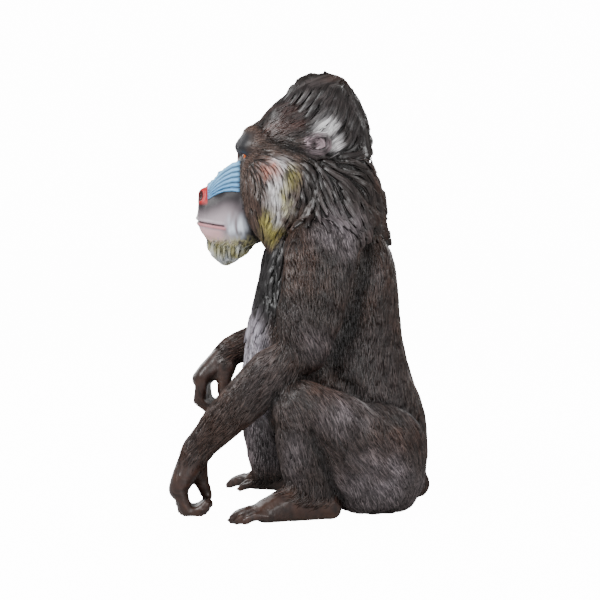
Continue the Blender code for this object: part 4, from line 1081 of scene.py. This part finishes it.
@functools.cache
def weathered_paint():
    """Hand-brushed paint: broad mottling, fine speckle and a grain that breaks the gloss."""
    group, inputs, outputs = shader_group(
        "Weathered Paint",
        (("Color", "NodeSocketColor", (0.1, 0.08, 0.07, 1.0)), ("Mottle", "NodeSocketFloat", 0.3),
         ("Grain Place", "NodeSocketVector", None), ("Grain Scale", "NodeSocketFloat", 900.0),
         ("Roughness", "NodeSocketFloat", 0.34), ("Sheen Breakup", "NodeSocketFloat", 0.12)),
        (("Color", "NodeSocketColor"), ("Roughness", "NodeSocketFloat"),
         ("Height", "NodeSocketFloat")))
    place = add_node(group, "TexCoord")
    broad = add_node(group, "TexNoise", (("Scale", 55.0), ("Detail", 5.0)))
    grain = add_node(group, "TexNoise", (("Detail", 4.0),))
    tone = add_node(group, "MapRange", (("From Min", 0.30), ("From Max", 0.72),
                                        ("To Min", 0.55), ("To Max", 1.45)))
    scaled = add_node(group, "VectorMath", operation="SCALE")
    blend = add_node(group, "Mix", data_type="RGBA")
    rough = add_node(group, "Math", operation="MULTIPLY_ADD")
    wire(group,
         (place, "Object", broad, "Vector"), (broad, "Fac", tone, "Value"),
         (inputs, "Grain Place", grain, "Vector"), (inputs, "Grain Scale", grain, "Scale"),
         (inputs, "Color", scaled, 0), (tone, "Result", scaled, "Scale"),
         (inputs, "Mottle", blend, "Factor"), (inputs, "Color", blend, "A"),
         (scaled, "Vector", blend, "B"), (blend, "Result", outputs, "Color"),
         (grain, "Fac", rough, 0), (inputs, "Sheen Breakup", rough, 1),
         (inputs, "Roughness", rough, 2), (rough, "Value", outputs, "Roughness"),
         (grain, "Fac", outputs, "Height"))
    return group


# Finishes: mottling, the attribute that the grain follows and its scale, roughness and how
# much the grain changes it, depth of the grain, and weight and roughness of the varnish
FINISHES = {
    "Carved Skin": (0.45, "Grain", 420.0, 0.26, 0.30, 0.0012, 0.15, 0.22),
    "Smooth Face": (0.12, "", 900.0, 0.42, 0.12, 0.0002, 0.08, 0.22),
    "Carved Fur": (0.40, "Strand", 900.0, 0.24, 0.30, 0.0010, 0.14, 0.22),
    "Eye Gloss": (0.2, "", 2500.0, 0.10, 0.0, 0.00005, 1.0, 0.04),
}


@functools.cache
def painted(name):
    """A varnished paint that reads its colours from the piece, and its grain where it has one."""
    mottle, grain, scale, roughness, breakup, depth, varnish, varnish_roughness = FINISHES[name]
    material, tree, shader = shaded_material(name)
    colour = add_node(tree, "Attribute", attribute_name="Paint")
    group = add_node(tree, "Group", (("Mottle", mottle), ("Grain Scale", scale),
                                     ("Roughness", roughness), ("Sheen Breakup", breakup)),
                     node_tree=weathered_paint())
    if grain:
        place, output = add_node(tree, "Attribute", attribute_name=grain), "Vector"
    else:
        place, output = add_node(tree, "TexCoord"), "Object"
    bump = add_node(tree, "Bump", (("Strength", 0.6), ("Distance", depth)))
    wire(tree,
         (place, output, group, "Grain Place"), (colour, "Color", group, "Color"),
         (group, "Color", shader, "Base Color"), (group, "Roughness", shader, "Roughness"),
         (group, "Height", bump, "Height"), (bump, "Normal", shader, "Normal"))
    set_sockets(shader, (("Specular IOR Level", 0.5), ("Coat Weight", varnish),
                         ("Coat Roughness", varnish_roughness)))
    return material


def colour_property(label, text, colour):
    """A colour that a user can change."""
    return FloatVectorProperty(name=label, description=text, subtype="COLOR", size=3, min=0.0,
                               max=1.0, default=tuple(float(value) for value in srgb(*colour)))


class StatueColours(bpy.types.PropertyGroup):
    """Paints of the statue."""
    fur: colour_property("Fur", "Dark brown-grey of the body", (50, 38, 34))
    fur_warm: colour_property("Warm fur", "Brown patches of the body", (68, 43, 30))
    fur_grey: colour_property("Grey fur", "Cool patches of the body", (64, 56, 56))
    hair: colour_property("Hair", "Crest, mane and nape", (44, 37, 35))
    rust: colour_property("Rust", "Reddish brown at the temples", (64, 31, 22))
    chest: colour_property("Chest", "Near black locks of the chest", (28, 25, 26))
    belly: colour_property("Belly", "Pale lavender grey of the belly", (188, 182, 194))
    haunch: colour_property("Haunch", "Blue-grey under the haunch and inside the shins",
                            (122, 113, 117))
    cheek: colour_property("Cheek", "Brown-grey of the cheeks", (78, 60, 52))
    white: colour_property("White", "White of the cheeks and behind the ears", (252, 248, 250))
    gold: colour_property("Gold", "Yellow of the cheeks", (182, 172, 92))
    flesh: colour_property("Flesh", "Pink patch of the cheek", (200, 128, 108))
    beard: colour_property("Beard", "Olive-yellow of the beard", (206, 200, 146))
    slate: colour_property("Slate", "Bare skin of the brow", (32, 32, 36))
    muzzle: colour_property("Muzzle", "Bare skin of the upper lip", (206, 190, 198))
    muzzle_dark: colour_property("Dark muzzle", "Bare skin beside the swellings", (42, 37, 41))
    pink: colour_property("Pink", "Pink of the chin and lip", (250, 196, 198))
    lip: colour_property("Lip", "Rim of the lips", (204, 118, 124))
    frost: colour_property("Frost", "Bluish white beside the mouth", (222, 230, 244))
    blue: colour_property("Blue", "Ridges beside the nose", (136, 200, 246))
    blue_deep: colour_property("Deep blue", "Lower ridges beside the nose", (104, 170, 224))
    groove: colour_property("Groove", "Grooves between the ridges", (24, 40, 60))
    red: colour_property("Red", "Nose and its bridge", (192, 28, 32))
    nostril: colour_property("Nostril", "Inside of the nostrils", (66, 9, 11))
    slit: colour_property("Slit", "Line of the mouth", (30, 10, 12))
    lid: colour_property("Lid", "Skin round the eyes", (28, 24, 26))
    ear: colour_property("Ear", "Skin of the ears", (150, 132, 138))
    hand: colour_property("Hand", "Skin of hands, feet and tail", (50, 33, 27))


COLOUR_NAMES = tuple(StatueColours.__annotations__)


class StatueSizes(bpy.types.PropertyGroup):
    """Sizes of the carving."""
    voxel: FloatProperty(name="Skin grid", description="Grid of the skin before it is refined",
                         unit="LENGTH", default=0.0057, min=0.002)
    stroke_length: FloatProperty(name="Stroke length", description="Length of a stroke of fur",
                                 unit="LENGTH", default=0.029, min=0.004)
    stroke_width: FloatProperty(name="Stroke half width", description="Half width of a stroke",
                                unit="LENGTH", default=0.0012, min=0.0003)
    stroke_height: FloatProperty(name="Stroke height", description="Height of a stroke",
                                 unit="LENGTH", default=0.0015, min=0.0002)
    stroke_density: FloatProperty(name="Strokes to each square metre", default=78000.0, min=100.0,
                                  description="How many strokes of fur grow on a square metre")
    seed: IntProperty(name="Seed", description="Start of the random draws", default=7)


def current_colours():
    """The paints as they are set, by name."""
    paints = bpy.context.scene.statue_colours
    return {name: np.array(getattr(paints, name)) for name in COLOUR_NAMES}


def shaped(mesh, places):
    """Move a mesh's corners to their places, and give its new normals."""
    mesh.vertices.foreach_set("co", places.ravel())
    mesh.update()
    return read(mesh.vertex_normals, "vector", 3)


def carved_skin(voxel):
    """The mesh of the skin with its carved face, and the part that each corner is on."""
    solids, owners = joined_nodes()
    mesh = remeshed(solids.copy(), voxel)
    net = Net(mesh)
    places = read(mesh.vertices, "co", 3)
    normals = read(mesh.vertex_normals, "vector", 3)
    parts = nearest_parts(places, solids, owners)
    places = net.relax(places, net.even(per_part(parts, SMOOTHING, 1.0), 3), 26)
    swell = np.zeros(len(places))
    for centre, reach, turns, fills, out in SOFTENED:
        share = spot(places - SHIFT, centre, reach, 0.3)
        places = net.relax(places, share, turns, 0.20)
        places = filled(net, places, normals, share, fills)
        swell += share * out
    normals = shaped(mesh, places)
    places = places + normals * swell[:, None]
    insets = per_part(parts, INSETS, FUR_INSET)
    fine = fine_hair(side_places(places))
    insets = insets + (FINE_HAIR_INSET - insets) * fine * among(parts, "crest")
    places = places - normals * net.even(insets, 6)[:, None]
    places = places + normals * carve_body(places, parts, net)[:, None]
    shaped(mesh, places)
    for finest in (False, True):
        folded = side_places(places)
        face = among(parts, "head", "eye")
        if finest:
            wanted = (face & (bare_face(folded) > 0.3)) | among(parts, "ear")
        else:
            wanted = (face & (folded[:, 1] < -0.075)) | among(parts, "ear", "hand", "foot")
        refine(mesh, wanted)
        net = Net(mesh)
        places = read(mesh.vertices, "co", 3)
        parts = nearest_parts(places, solids, owners)
        soft = among(parts, "head", "eye", "ear", "hand", "foot").astype(float)
        places = net.relax(places, net.even(soft, 2), 3, 0.48)
        normals = shaped(mesh, places)
    places = places + normals * carve_face(places, parts)[:, None]
    shaped(mesh, shape_ears(set_eyes(places), normals, parts, net))
    return mesh, parts


# The dark wash in hollows is partly painted shade
RECESS_DEPTH = 0.0018       # of a hollow that takes the full dark wash


def washed_and_shaded(paint, places, normals, parts, net):
    """The ground under the coat: a dark wash and painted shade in hollows of bare skin, painted
    highlight on its rises, and painted shade under the fur, darkest under deep hair.
    """
    hollow = ((net.even(places, 14) - places) * normals).sum(axis=1)
    recess = np.clip(net.even(hollow, 2) / RECESS_DEPTH, -1, 1)
    bare = among(parts, "hand", "foot", "ear", "tail", "eye").astype(float)
    bare = np.maximum(bare, bare_face(side_places(places)) * (parts == NUMBER["head"]))
    # Painted light: bare skin darker in hollows and lighter on rises, as a wash and as painted
    # shade and highlight; all skin under fur darker as painted shade, most under the deep hair
    wash_and_shade = ((1.0 - 0.60 * np.clip(recess, 0, 1) * bare)
            * (1.0 + 0.35 * np.clip(-recess, 0, 1) * bare))
    deep = among(parts, "crest", "mane", "ruff", "beard").astype(float)
    return np.clip(paint * (wash_and_shade * (0.45 + 0.55 * bare - 0.25 * deep))[:, None], 0.001, 1.0)


class STATUE_OT_skin(bpy.types.Operator):
    """Make the carved and painted skin"""
    bl_idname = "statue.skin"
    bl_label = "Skin"

    def execute(self, context):
        mesh, parts = carved_skin(context.scene.statue_sizes.voxel)
        net = Net(mesh)
        places = read(mesh.vertices, "co", 3)
        normals = read(mesh.vertex_normals, "vector", 3)
        lie = even_lie(places, parts, net)
        paint = paint_skin(places, lie, parts, net, current_colours())
        ground = washed_and_shaded(paint, places, normals, parts, net)
        add_attribute(mesh, "Lie", lie, "FLOAT_VECTOR")
        add_attribute(mesh, "Grain", grain_places(places, lie, parts), "FLOAT_VECTOR")
        add_attribute(mesh, "Part", parts.astype(np.int32), "INT")
        add_attribute(mesh, "Paint", paint, "FLOAT_COLOR")
        mesh.materials.clear()
        mesh.materials.append(painted("Carved Skin"))
        mesh.materials.append(painted("Smooth Face"))
        parts_of_faces = parts[[face.vertices[0] for face in mesh.polygons]]
        smooth = among(parts_of_faces, "head", "eye", "ear").astype(np.int32)
        mesh.polygons.foreach_set("material_index", smooth)
        mesh.shade_smooth()
        mesh.name = "skin"
        skin = new_object("skin", mesh)
        mesh.uv_layers.new(name="Skin")
        smart_unwrap(skin)
        # The coat takes its colours from the full paint, and the skin then keeps the ground with
        # its wash and painted shade
        skin_surface()
        layer = mesh.attributes["Paint"]
        layer.data.foreach_set("color", np.column_stack((ground, np.ones(len(ground)))).ravel())
        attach(skin, "root")
        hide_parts(*(FUR_NODES + BARE_NODES))
        return {"FINISHED"}


# Sizes of the strokes on the face, as shares of the body's, and on the forehead
FACE_STROKE_SHARES = (0.50, 0.60, 0.50)
CROWN_STROKE = (0.034, 0.0012, 0.0019)


class STATUE_OT_fur(bpy.types.Operator):
    """Carve the strokes of fur over the body"""
    bl_idname = "statue.fur"
    bl_label = "Body fur"

    def execute(self, context):
        sizes = context.scene.statue_sizes
        stroke = (sizes.stroke_length, sizes.stroke_width, sizes.stroke_height)
        short = tuple(value * share for value, share in zip(stroke, FACE_STROKE_SHARES))
        coats = [("fur_back_left", trunk_part(False, 1), stroke, 1.0),
                 ("fur_back_right", trunk_part(False, -1), stroke, 1.0),
                 ("fur_front", trunk_part(True), stroke, 1.0)]
        for side in ("left", "right"):
            for limb, upper, lower in (("arm", "upper_arm_", "forearm_"),
                                       ("leg", "thigh_", "lower_leg_")):
                choose = on_parts(upper + side, lower + side)
                coats.append((f"fur_{limb}_{side}", choose, stroke, 1.0))
        coats.append(("fur_face", furry_face, short, 3.0))
        coats.append(("fur_crown", fine_crest, CROWN_STROKE, 1.6))
        for number, (name, choose, size, share) in enumerate(coats):
            piece = stroke_coat(name, choose, size, sizes.stroke_density * share,
                                painted("Carved Fur"), sizes.seed + number)
            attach(piece, "root")
        return {"FINISHED"}


# Coats of locks: name, faces, sizes (length, half width, height and lift), gap between roots,
# whether they are thin strands, nodes and slot
LOCK_COATS = (
    ("crest_locks", bold_crest, (0.104, 0.0053, 0.0100, 0.0050), 0.0116, False,
     ("crest",), "hair_paint"),
    ("mane_locks", on_parts("mane"), (0.086, 0.0056, 0.0098, 0.0040), 0.0122, False,
     ("mane",), "hair_paint"),
    ("hair_strands", bold_hair, (0.046, 0.0015, 0.0030, 0.0100), 0.0092, True,
     (), "hair_paint"),
    ("ruff_locks", on_parts("ruff"), (0.036, 0.0030, 0.0038, 0.0030), 0.0056, False,
     ("ruff_left", "ruff_right"), "ruff_paint"),
    ("beard_locks", on_parts("beard"), (0.036, 0.0031, 0.0044, 0.0045), 0.0058, False,
     ("beard",), "beard_paint"),
    ("chest_locks", chest_front, (0.058, 0.0050, 0.0060, 0.0034), 0.0090, False,
     (), "hair_paint"),
)


class STATUE_OT_locks(bpy.types.Operator):
    """Carve the bold locks of crest, mane, cheeks, beard and chest"""
    bl_idname = "statue.locks"
    bl_label = "Locks"

    def execute(self, context):
        seed = context.scene.statue_sizes.seed + 10
        for number, (name, choose, sizes, gap, thin, nodes, slot) in enumerate(LOCK_COATS):
            piece = lock_coat(name, choose, sizes, gap, thin, painted("Carved Fur"), seed + number)
            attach(piece, "root")
            if nodes:
                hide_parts(*nodes)
        return {"FINISHED"}


# The eye's paint: iris, its lighter ring, pupil and outer rim
IRIS, IRIS_RING = srgb(190, 74, 18), srgb(226, 128, 36)
PUPIL, EYE_RIM = srgb(8, 6, 6), srgb(30, 12, 8)


class STATUE_OT_eyes(bpy.types.Operator):
    """Set the glossy eyeballs"""
    bl_idname = "statue.eyes"
    bl_label = "Eyes"

    def execute(self, context):
        for name, side in (("eyeball_left", 1), ("eyeball_right", -1)):
            centre = on_side(EYE_PLACE, side) + SHIFT
            gaze = unit(on_side(GAZE, side))
            bm = bmesh.new()
            bmesh.ops.create_uvsphere(bm, u_segments=64, v_segments=48,
                                      radius=EYE_RADIUS - 0.0002)
            turn = Vector((0, 0, 1)).rotation_difference(Vector(gaze)).to_matrix().to_4x4()
            place = Matrix.Translation(Vector(centre)) @ turn
            bmesh.ops.transform(bm, matrix=place, verts=bm.verts)
            mesh = bpy.data.meshes.new(name)
            bm.to_mesh(mesh)
            bm.free()
            places = read(mesh.vertices, "co", 3)
            angle = np.degrees(np.arccos(np.clip(unit(places - centre) @ gaze, -1, 1)))
            paint = mix(IRIS, IRIS_RING, band(angle, 18, 26, 4))
            paint = mix(paint, PUPIL, fall(angle, 13, 15))
            paint = mix(paint, EYE_RIM, ramp(angle, 40, 48))
            add_attribute(mesh, "Paint", paint, "FLOAT_COLOR")
            mesh.shade_smooth()
            mesh.materials.append(painted("Eye Gloss"))
            eye = new_object(name, mesh)
            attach(eye, "root")
            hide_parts(name.replace("eyeball", "eye"))
        return {"FINISHED"}


CAMERA_PLACE = Vector((3.0, 0.0, 0.58))
CAMERA_AIM = Vector((0.0, 0.0, 0.383))
CAMERA_LENS, CAMERA_SENSOR = 97.8, 36.0
WHITE = (1.0, 1.0, 1.0, 1.0)
FLOOR_RADIUS = 14.0
BACKDROP_GLOW = 14.0     # how much brighter the floor and the world look than they light
WORLD_STRENGTH = 0.48
# Lamps: name, place, size and power
LAMPS = (("key", (1.6, -1.8, 2.2), 1.2, 78.0), ("side", (2.6, 1.0, 1.2), 1.4, 36.0),
         ("rim", (-1.2, 2.0, 1.8), 1.2, 30.0), ("far", (-2.2, -1.4, 1.3), 1.6, 24.0))
LAMP_AIM = Vector((0.0, 0.0, 0.4))


def camera_glow(tree, base):
    """A strength that the camera's own rays see raised by the backdrop's glow."""
    path = add_node(tree, "LightPath")
    strength = add_node(tree, "Math", ((1, BACKDROP_GLOW), (2, base)), operation="MULTIPLY_ADD")
    wire(tree, (path, "Is Camera Ray", strength, 0))
    return strength


def pale_floor():
    """A wide round floor, as pale as the backdrop."""
    bm = bmesh.new()
    bmesh.ops.create_circle(bm, cap_ends=True, segments=96, radius=FLOOR_RADIUS)
    mesh = bpy.data.meshes.new("floor")
    bm.to_mesh(mesh)
    bm.free()
    material, tree, shader = shaded_material("Pale Floor")
    place = add_node(tree, "TexCoord")
    grain = add_node(tree, "TexNoise", (("Scale", 3.0),))
    tone = add_node(tree, "MapRange", (("To Min", 0.48), ("To Max", 0.52)))
    wire(tree,
         (place, "Object", grain, "Vector"), (grain, "Fac", tone, "Value"),
         (tone, "Result", shader, "Base Color"),
         (camera_glow(tree, 0.0), "Value", shader, "Emission Strength"))
    set_sockets(shader, (("Roughness", 0.7), ("Emission Color", WHITE)))
    mesh.materials.append(material)
    return new_object("floor", mesh)


def set_up(name, data, place, direction):
    """Put a lamp or the camera in its place, turned to its subject."""
    obj = new_object(name, data)
    obj.location = place
    obj.rotation_euler = direction.to_track_quat("-Z", "Y").to_euler()
    return obj


class STATUE_OT_stage(bpy.types.Operator):
    """Set up the floor, backdrop, lights and camera"""
    bl_idname = "statue.stage"
    bl_label = "Studio"

    def execute(self, context):
        floor = pale_floor()
        world = bpy.data.worlds.new("Studio")
        context.scene.world = world
        world.use_nodes = True
        background = world.node_tree.nodes["Background"]
        set_sockets(background, (("Color", WHITE),))
        wire(world.node_tree,
             (camera_glow(world.node_tree, WORLD_STRENGTH), "Value", background, "Strength"))
        shift = Vector(SHIFT)
        for name, lamp_place, size, power in LAMPS:
            light = bpy.data.lights.new(name, "AREA")
            light.size = size
            light.energy = power
            place = Vector(lamp_place) + shift
            set_up(name, light, place, LAMP_AIM + shift - place)
        camera = bpy.data.cameras.new("camera")
        camera.lens = CAMERA_LENS
        camera.sensor_width = CAMERA_SENSOR
        context.scene.camera = set_up("camera", camera, CAMERA_PLACE + shift,
                                      CAMERA_AIM - CAMERA_PLACE)
        return {"FINISHED"}


class STATUE_PT_panel(bpy.types.Panel):
    """Steps that build the statue"""
    bl_label = "Mandrill Statue"
    bl_idname = "STATUE_PT_panel"
    bl_space_type = "VIEW_3D"
    bl_region_type = "UI"
    bl_category = "Statue"

    def draw(self, context):
        for operator in OPERATORS:
            self.layout.operator(operator.bl_idname)
        for name in StatueSizes.__annotations__:
            self.layout.prop(context.scene.statue_sizes, name)
        for name in COLOUR_NAMES:
            self.layout.prop(context.scene.statue_colours, name)


OPERATORS = (STATUE_OT_stage, STATUE_OT_skin, STATUE_OT_fur, STATUE_OT_locks, STATUE_OT_eyes)
CLASSES = (StatueColours, StatueSizes) + OPERATORS + (STATUE_PT_panel,)


def register():
    for entry in CLASSES:
        bpy.utils.register_class(entry)
    bpy.types.Scene.statue_colours = PointerProperty(type=StatueColours)
    bpy.types.Scene.statue_sizes = PointerProperty(type=StatueSizes)


def unregister():
    del bpy.types.Scene.statue_colours
    del bpy.types.Scene.statue_sizes
    for entry in reversed(CLASSES):
        bpy.utils.unregister_class(entry)


def main():
    register()
    bpy.ops.statue.stage()
    bpy.ops.statue.skin()
    bpy.ops.statue.fur()
    bpy.ops.statue.locks()
    bpy.ops.statue.eyes()


if __name__ == "__main__":
    main()
